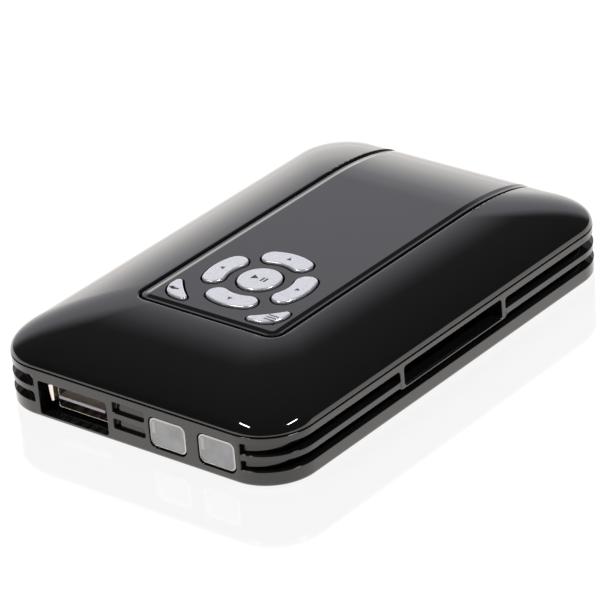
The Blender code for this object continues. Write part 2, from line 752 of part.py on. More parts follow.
def panel_outline(grow=0.0):
    """The strip's outline. Its back end runs out past the player, over the rear curve."""
    back = HALF_LENGTH + OVERRUN
    middle = (back + PANEL_FRONT) / 2
    half = (back - PANEL_FRONT) / 2
    return rounded_rectangle(0, middle, PANEL_HALF_WIDTH, half, PANEL_CORNER, SMALL_STEPS, grow)


def make_top_shell():
    shell = dome_solid("top_shell", 0, SHELL_BOTTOM, gloss_black())
    cut(shell, dome_solid("shell_hollow", SHELL_WALL, SHELL_BOTTOM - OVERRUN))

    recess_floor = dome_solid("recess_floor", PANEL_THICKNESS + FIT_GAP, SHELL_BOTTOM - OVERRUN)
    recess_low = DOME_START + PANEL_TAIL - PANEL_GROOVE
    recess = plate("panel_recess", [panel_outline(PANEL_GROOVE)], recess_low, PANEL_TOP + OVERRUN)
    cut(recess, recess_floor)
    cut(shell, recess)

    window_half_width = CORNER_KEY_OUTER_X + KEY_FLANGE + FIT_GAP
    window_front = KEYPAD_Y - CORNER_KEY_LOW_Y - KEY_FLANGE - FIT_GAP
    window_back = KEYPAD_Y + ARC_KEY_OUTER + KEY_FLANGE + FIT_GAP
    opening = rounded_rectangle(
        0,
        (window_front + window_back) / 2,
        window_half_width,
        (window_back - window_front) / 2,
        PANEL_CORNER,
    )
    cut(shell, plate("keypad_window", [opening], KEY_BOARD_TOP, PANEL_UNDERSIDE))

    post_core = dome_solid("post_core", (PANEL_THICKNESS + FIT_GAP + SHELL_WALL) / 2, KEY_BOARD_BOTTOM)
    for x_sign, y_sign in CORNER_SIGNS:
        place = (x_sign * KEY_POST_X, KEYPAD_Y + y_sign * KEY_POST_Y)
        tag = CORNER_NAMES[CORNER_SIGNS.index((x_sign, y_sign))]
        foot = KEY_BOARD_TOP + FIT_GAP
        post = cylinder("key_post_" + tag, KEY_BOARD_POST_RADIUS, foot, PANEL_TOP, place, segments=FINE_SEGMENTS)
        combine(post, post_core, "INTERSECT")
        join(shell, post)
        pin_low = KEY_BOARD_BOTTOM - FIT_GAP
        pin = cylinder(
            "key_pin_" + tag, KEY_BOARD_PIN_RADIUS, pin_low, SWITCH_TOP, place, segments=FINE_SEGMENTS
        )
        join(shell, pin)

    screw_core = dome_solid("screw_post_core", SHELL_WALL / 2, FLOOR_TOP)
    for x_sign, y_sign in CORNER_SIGNS:
        place = (x_sign * SCREW_X, y_sign * SCREW_Y)
        tag = CORNER_NAMES[CORNER_SIGNS.index((x_sign, y_sign))]
        low = CASE_POST_TOP + FIT_GAP
        post = cylinder("screw_post_" + tag, SHELL_POST_RADIUS, low, PANEL_TOP, place)
        combine(post, screw_core, "INTERSECT")
        join(shell, post)
        pilot_top = CASE_POST_TOP + SCREW_REACH + SCREW_PILOT_SPARE
        pilot_radius = SCREW_SHANK_RADIUS + FIT_GAP
        pilot = cylinder(
            "screw_pilot_" + tag, pilot_radius, low - OVERRUN, pilot_top, place, segments=FINE_SEGMENTS
        )
        cut(shell, pilot)
    return shell


def make_control_panel():
    panel = dome_solid("control_panel", 0, SHELL_BOTTOM, gloss_black())
    strip = plate("panel_strip", [panel_outline()], DOME_START + PANEL_TAIL, PANEL_TOP + OVERRUN)
    combine(panel, strip, "INTERSECT")
    cut(panel, dome_solid("panel_underside", PANEL_THICKNESS, SHELL_BOTTOM - OVERRUN))
    for name, outline, _ in key_plans():
        hole = plate(
            "key_hole_" + name, [on_keypad(outline(KEY_SIDE_GAP))], KEY_BOARD_TOP, PANEL_TOP + OVERRUN
        )
        cut(panel, hole)
    return panel


def make_keys():
    """Seven keys, each with a flange under the panel that keeps it in, and the switch that it presses."""
    for name, outline, (u, v) in key_plans():
        key = plate(
            "key_" + name,
            [on_keypad(outline(0.0))],
            FLANGE_TOP - KEY_FLANGE_THICKNESS / 2,
            KEY_TOP,
            finish=key_silver(),
            rounded_end="high",
            round_width=KEY_EDGE_ROUND,
        )
        flange = plate("key_flange_" + name, [on_keypad(outline(KEY_FLANGE))], FLANGE_BOTTOM, FLANGE_TOP)
        join(key, flange)

        place = (u, v + KEYPAD_Y)
        hole_radius = PLUNGER_RADIUS + FIT_GAP
        half = SWITCH_SIZE / 2
        body = box(
            "switch_body_" + name,
            (place[0] - half, place[1] - half, SWITCH_BOTTOM),
            (place[0] + half, place[1] + half, SWITCH_TOP),
            chip_black(),
        )
        well_bottom = SWITCH_BOTTOM + SWITCH_FLOOR
        well = cylinder(
            "switch_well_" + name, hole_radius, well_bottom, SWITCH_TOP + OVERRUN, place, segments=FINE_SEGMENTS
        )
        cut(body, well)
        plunger_bottom = well_bottom + KEY_TRAVEL + FIT_GAP
        cylinder(
            "switch_plunger_" + name,
            PLUNGER_RADIUS,
            plunger_bottom,
            PLUNGER_TOP,
            place,
            segments=FINE_SEGMENTS,
            finish=tongue_plastic(),
        )


def make_key_board():
    board = box(
        "key_board",
        (-KEY_BOARD_HALF_WIDTH, KEYPAD_Y - KEY_BOARD_HALF_LENGTH, KEY_BOARD_BOTTOM),
        (KEY_BOARD_HALF_WIDTH, KEYPAD_Y + KEY_BOARD_HALF_LENGTH, KEY_BOARD_TOP),
        board_green(),
    )
    for x_sign, y_sign in CORNER_SIGNS:
        tag = CORNER_NAMES[CORNER_SIGNS.index((x_sign, y_sign))]
        hole = cylinder(
            "key_board_hole_" + tag,
            KEY_BOARD_PIN_RADIUS + FIT_GAP,
            KEY_BOARD_BOTTOM - OVERRUN,
            KEY_BOARD_TOP + OVERRUN,
            (x_sign * KEY_POST_X, KEYPAD_Y + y_sign * KEY_POST_Y),
            segments=FINE_SEGMENTS,
        )
        cut(board, hole)


def groove_ring(name, low, high):
    """A band that runs all round outside the groove's back wall."""
    outside = rounded_rectangle(0, 0, HALF_WIDTH, HALF_LENGTH, CORNER_RADIUS, CORNER_STEPS, OVERRUN)
    inside = rounded_rectangle(
        0,
        0,
        HALF_WIDTH - SIDE_GROOVE_DEPTH,
        HALF_LENGTH - END_GROOVE_DEPTH,
        CORNER_RADIUS - END_GROOVE_DEPTH,
        CORNER_STEPS,
    )
    return plate(name, [outside, inside], low, high)


def cut_grooves(case):
    """Two louvre grooves, stopped at the front ports, at the back ports and round the card slot."""
    frame_end = SLOT_LENGTH / 2 + SLOT_FRAME
    frame_low = CASE_BOTTOM + SLOT_RAISE - SLOT_FRAME_DROP
    far_y = HALF_LENGTH + 2 * OVERRUN
    far_x = HALF_WIDTH + 2 * OVERRUN
    inner_x = HALF_WIDTH - SIDE_GROOVE_DEPTH - OVERRUN / 2
    inner_y = HALF_LENGTH - END_GROOVE_DEPTH - OVERRUN / 2
    bands = (
        ("lower", LOWER_GROOVE_BOTTOM, LOWER_GROOVE_TOP),
        ("upper", UPPER_GROOVE_BOTTOM, UPPER_GROOVE_TOP),
    )
    for name, low, high in bands:
        ring = groove_ring("groove_" + name, low, high)
        below = low - OVERRUN
        above = high + OVERRUN
        front = box(
            "front_stop_" + name,
            (FRONT_GROOVE_LEFT_X, -far_y, below),
            (FRONT_GROOVE_RIGHT_X, -inner_y, above),
        )
        back_x = POST_INNER_X + FIT_GAP
        back = box("back_stop_" + name, (-back_x, inner_y, below), (back_x, far_y, above))
        slot_low = frame_low if name == "lower" else below
        side = box("slot_stop_" + name, (inner_x, -frame_end, slot_low), (far_x, frame_end, above))
        for stop in (front, back, side):
            cut(ring, stop)
        cut(case, ring)
        recess = box(
            "short_recess_" + name,
            (RECESS_LEFT_X, -HALF_LENGTH - OVERRUN, low),
            (RECESS_RIGHT_X, -HALF_LENGTH + END_GROOVE_DEPTH, high),
        )
        cut(case, recess)


def cut_ports(case):
    """Openings through the front, right and back walls."""
    front_low = -HALF_LENGTH - OVERRUN
    front_high = -CAVITY_HALF_LENGTH + OVERRUN
    usb_z = CASE_BOTTOM + USB_OPENING_SILL + USB_OPENING_HEIGHT / 2
    usb = rounded_rectangle(
        USB_CENTRE_X, usb_z, USB_OPENING_WIDTH / 2, USB_OPENING_HEIGHT / 2, USB_OPENING_CORNER
    )
    cut(case, plate("usb_opening", [usb], front_low, front_high, "Y"))
    for i, x in enumerate(WINDOW_XS):
        hole = window_outline(x, WINDOW_GAP)
        cut(case, plate("window_opening_%d" % (i + 1), [hole], front_low, front_high, "Y"))
    slot = rounded_rectangle(0, SLOT_Z, SLOT_LENGTH / 2, SLOT_HEIGHT / 2, SLOT_CORNER)
    cut(case, plate("card_slot", [slot], CAVITY_HALF_WIDTH - OVERRUN, HALF_WIDTH + OVERRUN, "X"))
    back_low = CAVITY_HALF_LENGTH - OVERRUN
    back_high = HALF_LENGTH + OVERRUN
    cut(case, plate("video_opening", [video_outline(VIDEO_GAP)], back_low, back_high, "Y"))
    jack_place = (JACK_CENTRE_X, BACK_PORT_Z)
    jack_radius = JACK_NOSE_RADIUS + FIT_GAP
    cut(case, cylinder("jack_opening", jack_radius, back_low, back_high, jack_place, "Y"))
    power_place = (POWER_CENTRE_X, BACK_PORT_Z)
    cut(case, cylinder("power_opening", POWER_HOLE_RADIUS, back_low, back_high, power_place, "Y"))


def cut_underside(case):
    """Foot pockets, vents and a bare label recess."""
    for x_sign, y_sign in CORNER_SIGNS:
        tag = CORNER_NAMES[CORNER_SIGNS.index((x_sign, y_sign))]
        pocket = cylinder(
            "foot_pocket_" + tag,
            FOOT_RADIUS + FIT_GAP,
            CASE_BOTTOM - OVERRUN,
            CASE_BOTTOM + FOOT_POCKET,
            (x_sign * FOOT_X, y_sign * FOOT_Y),
        )
        cut(case, pocket)
    for i in range(VENT_COUNT):
        y = (i - (VENT_COUNT - 1) / 2) * VENT_PITCH
        slot = rounded_rectangle(0, y, VENT_LENGTH / 2, VENT_WIDTH / 2, VENT_WIDTH / 2)
        cut(case, plate("vent_%d" % (i + 1), [slot], CASE_BOTTOM - OVERRUN, FLOOR_TOP + OVERRUN))
    label = rounded_rectangle(0, LABEL_CENTRE_Y, LABEL_LENGTH / 2, LABEL_WIDTH / 2, LABEL_CORNER)
    cut(case, plate("label_recess", [label], CASE_BOTTOM - OVERRUN, CASE_BOTTOM + LABEL_DEPTH))


def make_bottom_case():
    outline = rounded_rectangle(0, 0, HALF_WIDTH, HALF_LENGTH, CORNER_RADIUS, CORNER_STEPS)
    case = plate(
        "bottom_case",
        [outline],
        CASE_BOTTOM,
        CASE_TOP,
        finish=gloss_black(),
        rounded_end="low",
        round_width=CASE_BOTTOM_ROUND,
        segments=4,
    )
    cavity = rounded_rectangle(0, 0, CAVITY_HALF_WIDTH, CAVITY_HALF_LENGTH, CAVITY_CORNER, CORNER_STEPS)
    cut(case, plate("case_cavity", [cavity], FLOOR_TOP, CASE_TOP + OVERRUN))
    root = FLOOR_TOP - CASE_FLOOR / 2
    for x_sign, y_sign in CORNER_SIGNS:
        tag = CORNER_NAMES[CORNER_SIGNS.index((x_sign, y_sign))]
        screw_place = (x_sign * SCREW_X, y_sign * SCREW_Y)
        board_place = (x_sign * STANDOFF_X, y_sign * STANDOFF_Y)
        join(case, cylinder("case_post_" + tag, CASE_POST_RADIUS, root, CASE_POST_TOP, screw_place))
        join(case, cylinder("standoff_" + tag, STANDOFF_RADIUS, root, STANDOFF_TOP, board_place))
        shank = SCREW_SHANK_RADIUS + FIT_GAP
        hole = cylinder(
            "screw_hole_" + tag,
            shank,
            CASE_BOTTOM,
            CASE_POST_TOP + OVERRUN,
            screw_place,
            segments=FINE_SEGMENTS,
        )
        well = cylinder(
            "screw_well_" + tag,
            SCREW_HEAD_RADIUS + FIT_GAP,
            CASE_BOTTOM - OVERRUN,
            SCREW_SEAT,
            screw_place,
        )
        cut(case, hole)
        cut(case, well)
        if has_board_screw(x_sign, y_sign):
            bore_low = STANDOFF_TOP - BOARD_SCREW_REACH - FIT_GAP
            bore = cylinder(
                "standoff_bore_" + tag,
                BOARD_SCREW_RADIUS + FIT_GAP,
                bore_low,
                STANDOFF_TOP + OVERRUN,
                board_place,
                segments=FINE_SEGMENTS,
            )
            cut(case, bore)
        else:
            pin = cylinder(
                "board_pin_" + tag,
                BOARD_SCREW_RADIUS,
                root,
                BOARD_TOP,
                board_place,
                segments=FINE_SEGMENTS,
            )
            join(case, pin)
    cut_grooves(case)
    cut_ports(case)
    cut_underside(case)
    return case


def has_board_screw(x_sign, y_sign):
    """The main board has screws on one diagonal and locating pins on the other."""
    return x_sign == y_sign


def port_notches():
    """Name, centre, width, inner end and side of the places where the sockets sink into the main board."""
    return (
        ("usb", USB_CENTRE_X, USB_MOUTH_WIDTH + 2 * USB_SHEET, -USB_BACK, -1),
        ("video", VIDEO_CENTRE_X, VIDEO_WIDTH, VIDEO_FRONT - VIDEO_LENGTH, 1),
        ("jack", JACK_CENTRE_X, JACK_WIDTH, JACK_FRONT - JACK_LENGTH, 1),
        ("power", POWER_CENTRE_X, POWER_WIDTH, JACK_FRONT - POWER_LENGTH, 1),
    )


def make_main_board():
    board = box(
        "main_board",
        (-BOARD_HALF_WIDTH, -BOARD_HALF_LENGTH, BOARD_BOTTOM),
        (BOARD_HALF_WIDTH, BOARD_HALF_LENGTH, BOARD_TOP),
        board_green(),
    )
    below = BOARD_BOTTOM - OVERRUN
    above = BOARD_TOP + OVERRUN
    for x_sign, y_sign in CORNER_SIGNS:
        tag = CORNER_NAMES[CORNER_SIGNS.index((x_sign, y_sign))]
        near = (x_sign * (BOARD_HALF_WIDTH - BOARD_CORNER_NOTCH_X), y_sign * (BOARD_HALF_LENGTH - BOARD_CORNER_NOTCH_Y))
        far = (x_sign * (BOARD_HALF_WIDTH + OVERRUN), y_sign * (BOARD_HALF_LENGTH + OVERRUN))
        low = (min(near[0], far[0]), min(near[1], far[1]), below)
        high = (max(near[0], far[0]), max(near[1], far[1]), above)
        cut(board, box("board_notch_" + tag, low, high))
        hole = cylinder(
            "board_hole_" + tag,
            BOARD_SCREW_RADIUS + FIT_GAP,
            below,
            above,
            (x_sign * STANDOFF_X, y_sign * STANDOFF_Y),
            segments=FINE_SEGMENTS,
        )
        cut(board, hole)
    for name, centre, width, inner_end, side in port_notches():
        half = width / 2 + FIT_GAP
        near = side * (inner_end - FIT_GAP)
        far = side * (BOARD_HALF_LENGTH + OVERRUN)
        low = (centre - half, min(near, far), below)
        high = (centre + half, max(near, far), above)
        cut(board, box("port_notch_" + name, low, high))


def make_board_screws():
    """Two screws with low round heads, on one diagonal of the main board."""
    for x_sign, y_sign in CORNER_SIGNS:
        if not has_board_screw(x_sign, y_sign):
            continue
        tag = CORNER_NAMES[CORNER_SIGNS.index((x_sign, y_sign))]
        head_top = CHIP_BOTTOM + BOARD_SCREW_HEAD_HEIGHT
        profile = (
            (0, head_top),
            (BOARD_SCREW_HEAD, head_top),
            (BOARD_SCREW_HEAD, CHIP_BOTTOM),
            (BOARD_SCREW_RADIUS, CHIP_BOTTOM),
            (BOARD_SCREW_RADIUS, STANDOFF_TOP - BOARD_SCREW_REACH),
            (0, STANDOFF_TOP - BOARD_SCREW_REACH),
        )
        screw = turned(
            "board_screw_" + tag,
            profile,
            (x_sign * STANDOFF_X, y_sign * STANDOFF_Y, 0),
            segments=FINE_SEGMENTS,
            finish=steel(),
        )
        drive_cross(screw, x_sign * STANDOFF_X, y_sign * STANDOFF_Y, head_top - DRIVE_SLOT_DEPTH, head_top + OVERRUN)


def drive_cross(screw, x, y, low, high):
    """A cross-shaped drive recess in a screw's head."""
    long_half = DRIVE_SLOT_LENGTH / 2
    short_half = DRIVE_SLOT_WIDTH / 2
    points = []
    for quarter in range(4):
        corners = [(long_half, -short_half), (long_half, short_half), (short_half, short_half)]
        points += turn_points(corners, quarter * math.pi / 2)
    cross = [(x + u, y + v) for u, v in points]
    cut(screw, plate("drive_" + screw.name, [cross], low, high))


def make_case_screws():
    """Four screws, heads down in their wells, shanks up into the posts of the top shell."""
    head_top = SCREW_SEAT - FIT_GAP
    head_bottom = head_top - SCREW_HEAD_HEIGHT
    shank_top = CASE_POST_TOP + SCREW_REACH
    profile = (
        (0, shank_top),
        (SCREW_SHANK_RADIUS, shank_top),
        (SCREW_SHANK_RADIUS, head_top),
        (SCREW_HEAD_RADIUS, head_top),
        (SCREW_HEAD_RADIUS, head_bottom),
        (0, head_bottom),
    )
    for (x_sign, y_sign), tag in zip(CORNER_SIGNS, CORNER_NAMES):
        screw = turned(
            "case_screw_" + tag,
            profile,
            (x_sign * SCREW_X, y_sign * SCREW_Y, 0),
            segments=FINE_SEGMENTS,
            finish=screw_steel(),
        )
        drive_cross(screw, x_sign * SCREW_X, y_sign * SCREW_Y, head_bottom - OVERRUN, head_bottom + DRIVE_SLOT_DEPTH)


def make_feet():
    top = CASE_BOTTOM + FOOT_POCKET - FIT_GAP
    profile = (
        (0, top),
        (FOOT_RADIUS, top),
        (FOOT_RADIUS, FOOT_EDGE_ROUND),
        (FOOT_RADIUS - FOOT_EDGE_ROUND, 0),
        (0, 0),
    )
    for (x_sign, y_sign), tag in zip(CORNER_SIGNS, CORNER_NAMES):
        turned("foot_" + tag, profile, (x_sign * FOOT_X, y_sign * FOOT_Y, 0), finish=foot_rubber())


def window_outline(x, grow=0.0):
    return rounded_rectangle(x, WINDOW_Z, WINDOW_WIDTH / 2, WINDOW_HEIGHT / 2, WINDOW_CORNER, SMALL_STEPS, grow)


def make_windows():
    """Clear caps that stand a little proud of the front face, hollow behind, held by a flange inside."""
    front = -HALF_LENGTH - WINDOW_PROUD
    flange_front = -CAVITY_HALF_LENGTH + FIT_GAP
    flange_back = flange_front + WINDOW_FLANGE_THICKNESS
    for name, x in zip(("left", "right"), WINDOW_XS):
        window = plate(
            "window_" + name,
            [window_outline(x)],
            front,
            flange_back - WINDOW_FLANGE_THICKNESS / 2,
            "Y",
            clear_plastic(),
            "low",
            WINDOW_EDGE_ROUND,
        )
        flange = plate("window_flange_" + name, [window_outline(x, WINDOW_FLANGE)], flange_front, flange_back, "Y")
        join(window, flange)
        hollow = plate(
            "window_hollow_" + name,
            [window_outline(x, -WINDOW_SIDE_WALL)],
            front + WINDOW_FRONT_WALL,
            flange_back + OVERRUN,
            "Y",
        )
        cut(window, hollow)


def make_usb_port():
    """A steel shell open to the front, round a tongue that stands out of an insulating block."""
    half_width = USB_MOUTH_WIDTH / 2
    low = FLOOR_TOP + FIT_GAP
    mouth_low = low + USB_SHEET
    mouth_high = mouth_low + USB_MOUTH_HEIGHT
    front = USB_FRONT
    back = USB_BACK
    shell = box(
        "usb_shell",
        (USB_CENTRE_X - half_width - USB_SHEET, front, low),
        (USB_CENTRE_X + half_width + USB_SHEET, back, mouth_high + USB_SHEET),
        steel(),
    )
    hollow = box(
        "usb_mouth",
        (USB_CENTRE_X - half_width, front - OVERRUN, mouth_low),
        (USB_CENTRE_X + half_width, back + OVERRUN, mouth_high),
    )
    cut(shell, hollow)
    tongue_half = USB_TONGUE_WIDTH / 2
    tongue_low = mouth_low + USB_TONGUE_RAISE
    tongue = box(
        "usb_tongue",
        (USB_CENTRE_X - tongue_half, front + USB_TONGUE_INSET, tongue_low),
        (USB_CENTRE_X + tongue_half, back - USB_BLOCK_LENGTH / 2, tongue_low + USB_TONGUE_THICKNESS),
        tongue_plastic(),
    )
    block = box(
        "usb_block",
        (USB_CENTRE_X - half_width + FIT_GAP, back - USB_BLOCK_LENGTH, mouth_low + FIT_GAP),
        (USB_CENTRE_X + half_width - FIT_GAP, back, mouth_high - FIT_GAP),
    )
    join(tongue, block)


def make_card_socket():
    """A steel cage open to the right side, with a plastic base for the contacts."""
    mouth = CAGE_MOUTH_X
    back = CAGE_BACK_X
    half = CAGE_WIDTH / 2
    top = CHIP_BOTTOM + CAGE_HEIGHT
    cage = box("card_cage", (back, -half, CHIP_BOTTOM), (mouth, half, top), steel())
    hollow = box(
        "cage_mouth",
        (back + CAGE_SHEET, -half + CAGE_SHEET, CHIP_BOTTOM + CAGE_SHEET),
        (mouth + OVERRUN, half - CAGE_SHEET, top - CAGE_SHEET),
    )
    cut(cage, hollow)
    base_low = CHIP_BOTTOM + CAGE_SHEET + FIT_GAP
    inset = CAGE_SHEET + FIT_GAP
    box(
        "card_base",
        (back + inset, -half + inset, base_low),
        (mouth - CARD_BASE_SETBACK, half - inset, base_low + CARD_BASE_THICKNESS),
        socket_plastic(),
    )


def video_outline(grow=0.0):
    """A video socket's outline: a rectangle with its two lower corners cut off."""
    half = VIDEO_WIDTH / 2 + grow
    high = VIDEO_HEIGHT / 2 + grow
    corners = (
        (half, -high + VIDEO_CHAMFER),
        (half, high),
        (-half, high),
        (-half, -high + VIDEO_CHAMFER),
        (-half + VIDEO_CHAMFER, -high),
        (half - VIDEO_CHAMFER, -high),
    )
    return [(VIDEO_CENTRE_X + u, BACK_PORT_Z + v) for u, v in corners]


def make_video_port():
    back_face = VIDEO_FRONT
    inner_end = back_face - VIDEO_LENGTH
    shell = plate("video_shell", [video_outline()], inner_end, back_face, "Y", steel())
    hollow = plate(
        "video_mouth", [video_outline(-VIDEO_SHEET)], inner_end - OVERRUN, back_face + OVERRUN, "Y"
    )
    cut(shell, hollow)
    half = VIDEO_TONGUE_WIDTH / 2
    middle = BACK_PORT_Z + VIDEO_TONGUE_RAISE
    tongue = box(
        "video_tongue",
        (VIDEO_CENTRE_X - half, inner_end + VIDEO_BLOCK_LENGTH / 2, middle - VIDEO_TONGUE_THICKNESS / 2),
        (VIDEO_CENTRE_X + half, back_face - VIDEO_TONGUE_INSET, middle + VIDEO_TONGUE_THICKNESS / 2),
        socket_plastic(),
    )
    block = plate(
        "video_block",
        [video_outline(-VIDEO_SHEET - FIT_GAP)],
        inner_end,
        inner_end + VIDEO_BLOCK_LENGTH,
        "Y",
    )
    join(tongue, block)


def make_jacks():
    """Sound jack with a round nose through the back wall, and a power jack with its pin."""
    front = JACK_FRONT
    jack = box(
        "av_jack",
        (JACK_CENTRE_X - JACK_WIDTH / 2, front - JACK_LENGTH, BACK_PORT_Z - JACK_HEIGHT / 2),
        (JACK_CENTRE_X + JACK_WIDTH / 2, front, BACK_PORT_Z + JACK_HEIGHT / 2),
        socket_plastic(),
    )
    place = (JACK_CENTRE_X, BACK_PORT_Z)
    nose_end = HALF_LENGTH + WINDOW_PROUD
    nose_radius = JACK_NOSE_RADIUS - FIT_GAP / 3
    join(jack, cylinder("jack_nose", nose_radius, front - JACK_BORE_RADIUS, nose_end, place, "Y"))
    bore = cylinder(
        "jack_bore",
        JACK_BORE_RADIUS,
        nose_end - JACK_BORE_DEPTH,
        nose_end + OVERRUN,
        place,
        "Y",
        FINE_SEGMENTS,
    )
    cut(jack, bore)
    power = box(
        "power_jack",
        (POWER_CENTRE_X - POWER_WIDTH / 2, front - POWER_LENGTH, BACK_PORT_Z - POWER_HEIGHT / 2),
        (POWER_CENTRE_X + POWER_WIDTH / 2, front, BACK_PORT_Z + POWER_HEIGHT / 2),
        socket_plastic(),
    )
    power_place = (POWER_CENTRE_X, BACK_PORT_Z)
    bore_end = front - POWER_BORE_DEPTH
    cut(power, cylinder("power_bore", POWER_BORE_RADIUS, bore_end, front + OVERRUN, power_place, "Y"))
    pin = cylinder(
        "power_pin",
        POWER_PIN_RADIUS,
        bore_end - POWER_PIN_RADIUS,
        front - POWER_PIN_RADIUS,
        power_place,
        "Y",
        FINE_SEGMENTS,
    )
    join(power, pin)


def chip(name, x, y, width, length, height, finish):
    """A flat package standing on the main board."""
    return box(
        name,
        (x - width / 2, y - length / 2, CHIP_BOTTOM),
        (x + width / 2, y + length / 2, CHIP_BOTTOM + height),
        finish,
    )


def make_chips():
    chip("processor", PROCESSOR_X, PROCESSOR_Y, PROCESSOR_SIZE, PROCESSOR_SIZE, PROCESSOR_HEIGHT, chip_black())
    for name, side in (("left", -1), ("right", 1)):
        x = PROCESSOR_X + side * MEMORY_PITCH / 2
        chip("memory_chip_" + name, x, MEMORY_Y, MEMORY_WIDTH, MEMORY_LENGTH, MEMORY_HEIGHT, chip_black())
    chip("flash_chip", FLASH_X, FLASH_Y, FLASH_WIDTH, FLASH_LENGTH, FLASH_HEIGHT, chip_black())
    crystal = rounded_rectangle(CRYSTAL_X, CRYSTAL_Y, CRYSTAL_WIDTH / 2, CRYSTAL_LENGTH / 2, CRYSTAL_WIDTH / 2)
    plate("crystal", [crystal], CHIP_BOTTOM, CHIP_BOTTOM + CRYSTAL_HEIGHT, finish=steel())
    choke = rounded_rectangle(INDUCTOR_X, INDUCTOR_Y, INDUCTOR_SIZE / 2, INDUCTOR_SIZE / 2, INDUCTOR_CORNER)
    plate("inductor", [choke], CHIP_BOTTOM, CHIP_BOTTOM + INDUCTOR_HEIGHT, finish=chip_black())


def make_heat_sink():
    low = PROCESSOR_TOP + FIT_GAP
    half = SINK_SIZE / 2
    sink = box(
        "heat_sink",
        (PROCESSOR_X - half, PROCESSOR_Y - half, low),
        (PROCESSOR_X + half, PROCESSOR_Y + half, low + SINK_HEIGHT),
        aluminium(),
    )
    pitch = (SINK_SIZE - SINK_FIN_THICKNESS) / (SINK_FINS - 1)
    for i in range(SINK_FINS - 1):
        x = PROCESSOR_X - half + SINK_FIN_THICKNESS + i * pitch
        channel = box(
            "sink_channel_%d" % (i + 1),
            (x, PROCESSOR_Y - half - OVERRUN, low + SINK_BASE),
            (x + pitch - SINK_FIN_THICKNESS, PROCESSOR_Y + half + OVERRUN, low + SINK_HEIGHT + OVERRUN),
        )
        cut(sink, channel)


def make_capacitors():
    """Can capacitors with a crimped waist near the foot."""
    top = CHIP_BOTTOM + CAPACITOR_HEIGHT
    waist = CHIP_BOTTOM + CAPACITOR_CRIMP_HEIGHT
    profile = (
        (0, top),
        (CAPACITOR_RADIUS - CAPACITOR_CRIMP, top),
        (CAPACITOR_RADIUS, top - CAPACITOR_CRIMP),
        (CAPACITOR_RADIUS, waist + CAPACITOR_CRIMP),
        (CAPACITOR_RADIUS - CAPACITOR_CRIMP, waist),
        (CAPACITOR_RADIUS, waist - CAPACITOR_CRIMP),
        (CAPACITOR_RADIUS, CHIP_BOTTOM),
        (0, CHIP_BOTTOM),
    )
    for name, y in zip(("front", "back"), CAPACITOR_YS):
        turned("capacitor_" + name, profile, (CAPACITOR_X, y, 0), segments=FINE_SEGMENTS, finish=aluminium())


def make_board_link():
    """A socket on the main board, and a header with a contact blade that hangs from the key board."""
    half_x = LINK_LENGTH / 2
    half_y = LINK_WIDTH / 2
    blade_x = half_x - LINK_END
    blade_y = LINK_BLADE_WIDTH / 2
    socket_top = CHIP_BOTTOM + LINK_SOCKET_HEIGHT
    socket = box(
        "link_socket",
        (LINK_X - half_x, LINK_Y - half_y, CHIP_BOTTOM),
        (LINK_X + half_x, LINK_Y + half_y, socket_top),
        socket_plastic(),
    )
    slot_low = socket_top - LINK_BLADE_REACH - FIT_GAP
    slot = box(
        "link_slot",
        (LINK_X - blade_x - FIT_GAP, LINK_Y - blade_y - FIT_GAP, slot_low),
        (LINK_X + blade_x + FIT_GAP, LINK_Y + blade_y + FIT_GAP, socket_top + OVERRUN),
    )
    cut(socket, slot)
    header_bottom = socket_top + FIT_GAP
    header = box(
        "link_header",
        (LINK_X - half_x, LINK_Y - half_y, header_bottom),
        (LINK_X + half_x, LINK_Y + half_y, KEY_BOARD_BOTTOM - FIT_GAP),
        socket_plastic(),
    )
    blade = box(
        "link_blade",
        (LINK_X - blade_x, LINK_Y - blade_y, socket_top - LINK_BLADE_REACH),
        (LINK_X + blade_x, LINK_Y + blade_y, header_bottom + LINK_BLADE_WIDTH / 2),
    )
    join(header, blade)


def make_front_parts():
    """Infrared receiver and status light, on the main board just behind the windows."""
    board_front = -BOARD_HALF_LENGTH
    eye_z = CHIP_BOTTOM + RECEIVER_HEIGHT / 2
    low_y = board_front + FRONT_PART_GAP
    receiver = box(
        "ir_receiver",
        (RECEIVER_X - RECEIVER_WIDTH / 2, low_y, CHIP_BOTTOM),
        (RECEIVER_X + RECEIVER_WIDTH / 2, low_y + RECEIVER_LENGTH, CHIP_BOTTOM + RECEIVER_HEIGHT),
        chip_black(),
    )
    eye = cylinder(
        "receiver_eye",
        RECEIVER_EYE_RADIUS,
        board_front,
        low_y + RECEIVER_LENGTH / 2,
        (RECEIVER_X, eye_z),
        "Y",
        FINE_SEGMENTS,
    )
    join(receiver, eye)
    reach = LIGHT_LENGTH - LIGHT_RADIUS
    rim = LIGHT_RADIUS + LIGHT_RIM
    dome = [
        (LIGHT_RADIUS * math.sin(i * math.pi / 2 / SMALL_STEPS), reach + LIGHT_RADIUS * math.cos(i * math.pi / 2 / SMALL_STEPS))
        for i in range(SMALL_STEPS + 1)
    ]
    profile = dome + [(LIGHT_RADIUS, LIGHT_RIM_LENGTH), (rim, LIGHT_RIM_LENGTH), (rim, 0), (0, 0)]
    light_z = CHIP_BOTTOM + rim
    turned(
        "status_light",
        profile,
        (WINDOW_XS[0], board_front + LIGHT_LENGTH, light_z),
        "Y",
        FINE_SEGMENTS,
        clear_plastic(),
    )


make_top_shell()
make_control_panel()
make_keys()
make_key_board()
make_bottom_case()
make_main_board()
make_board_screws()
make_case_screws()
make_feet()
make_windows()
make_usb_port()
make_card_socket()
make_video_port()
make_jacks()
make_chips()
make_heat_sink()
make_capacitors()
make_board_link()
make_front_parts()
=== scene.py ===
"""Dresses the media player's solids: gloss shell and case, panel, keys, windows, sockets and a studio."""

import json
import math

import bmesh
import bpy
from bpy.props import FloatProperty, FloatVectorProperty, PointerProperty
from mathutils import Matrix, Vector


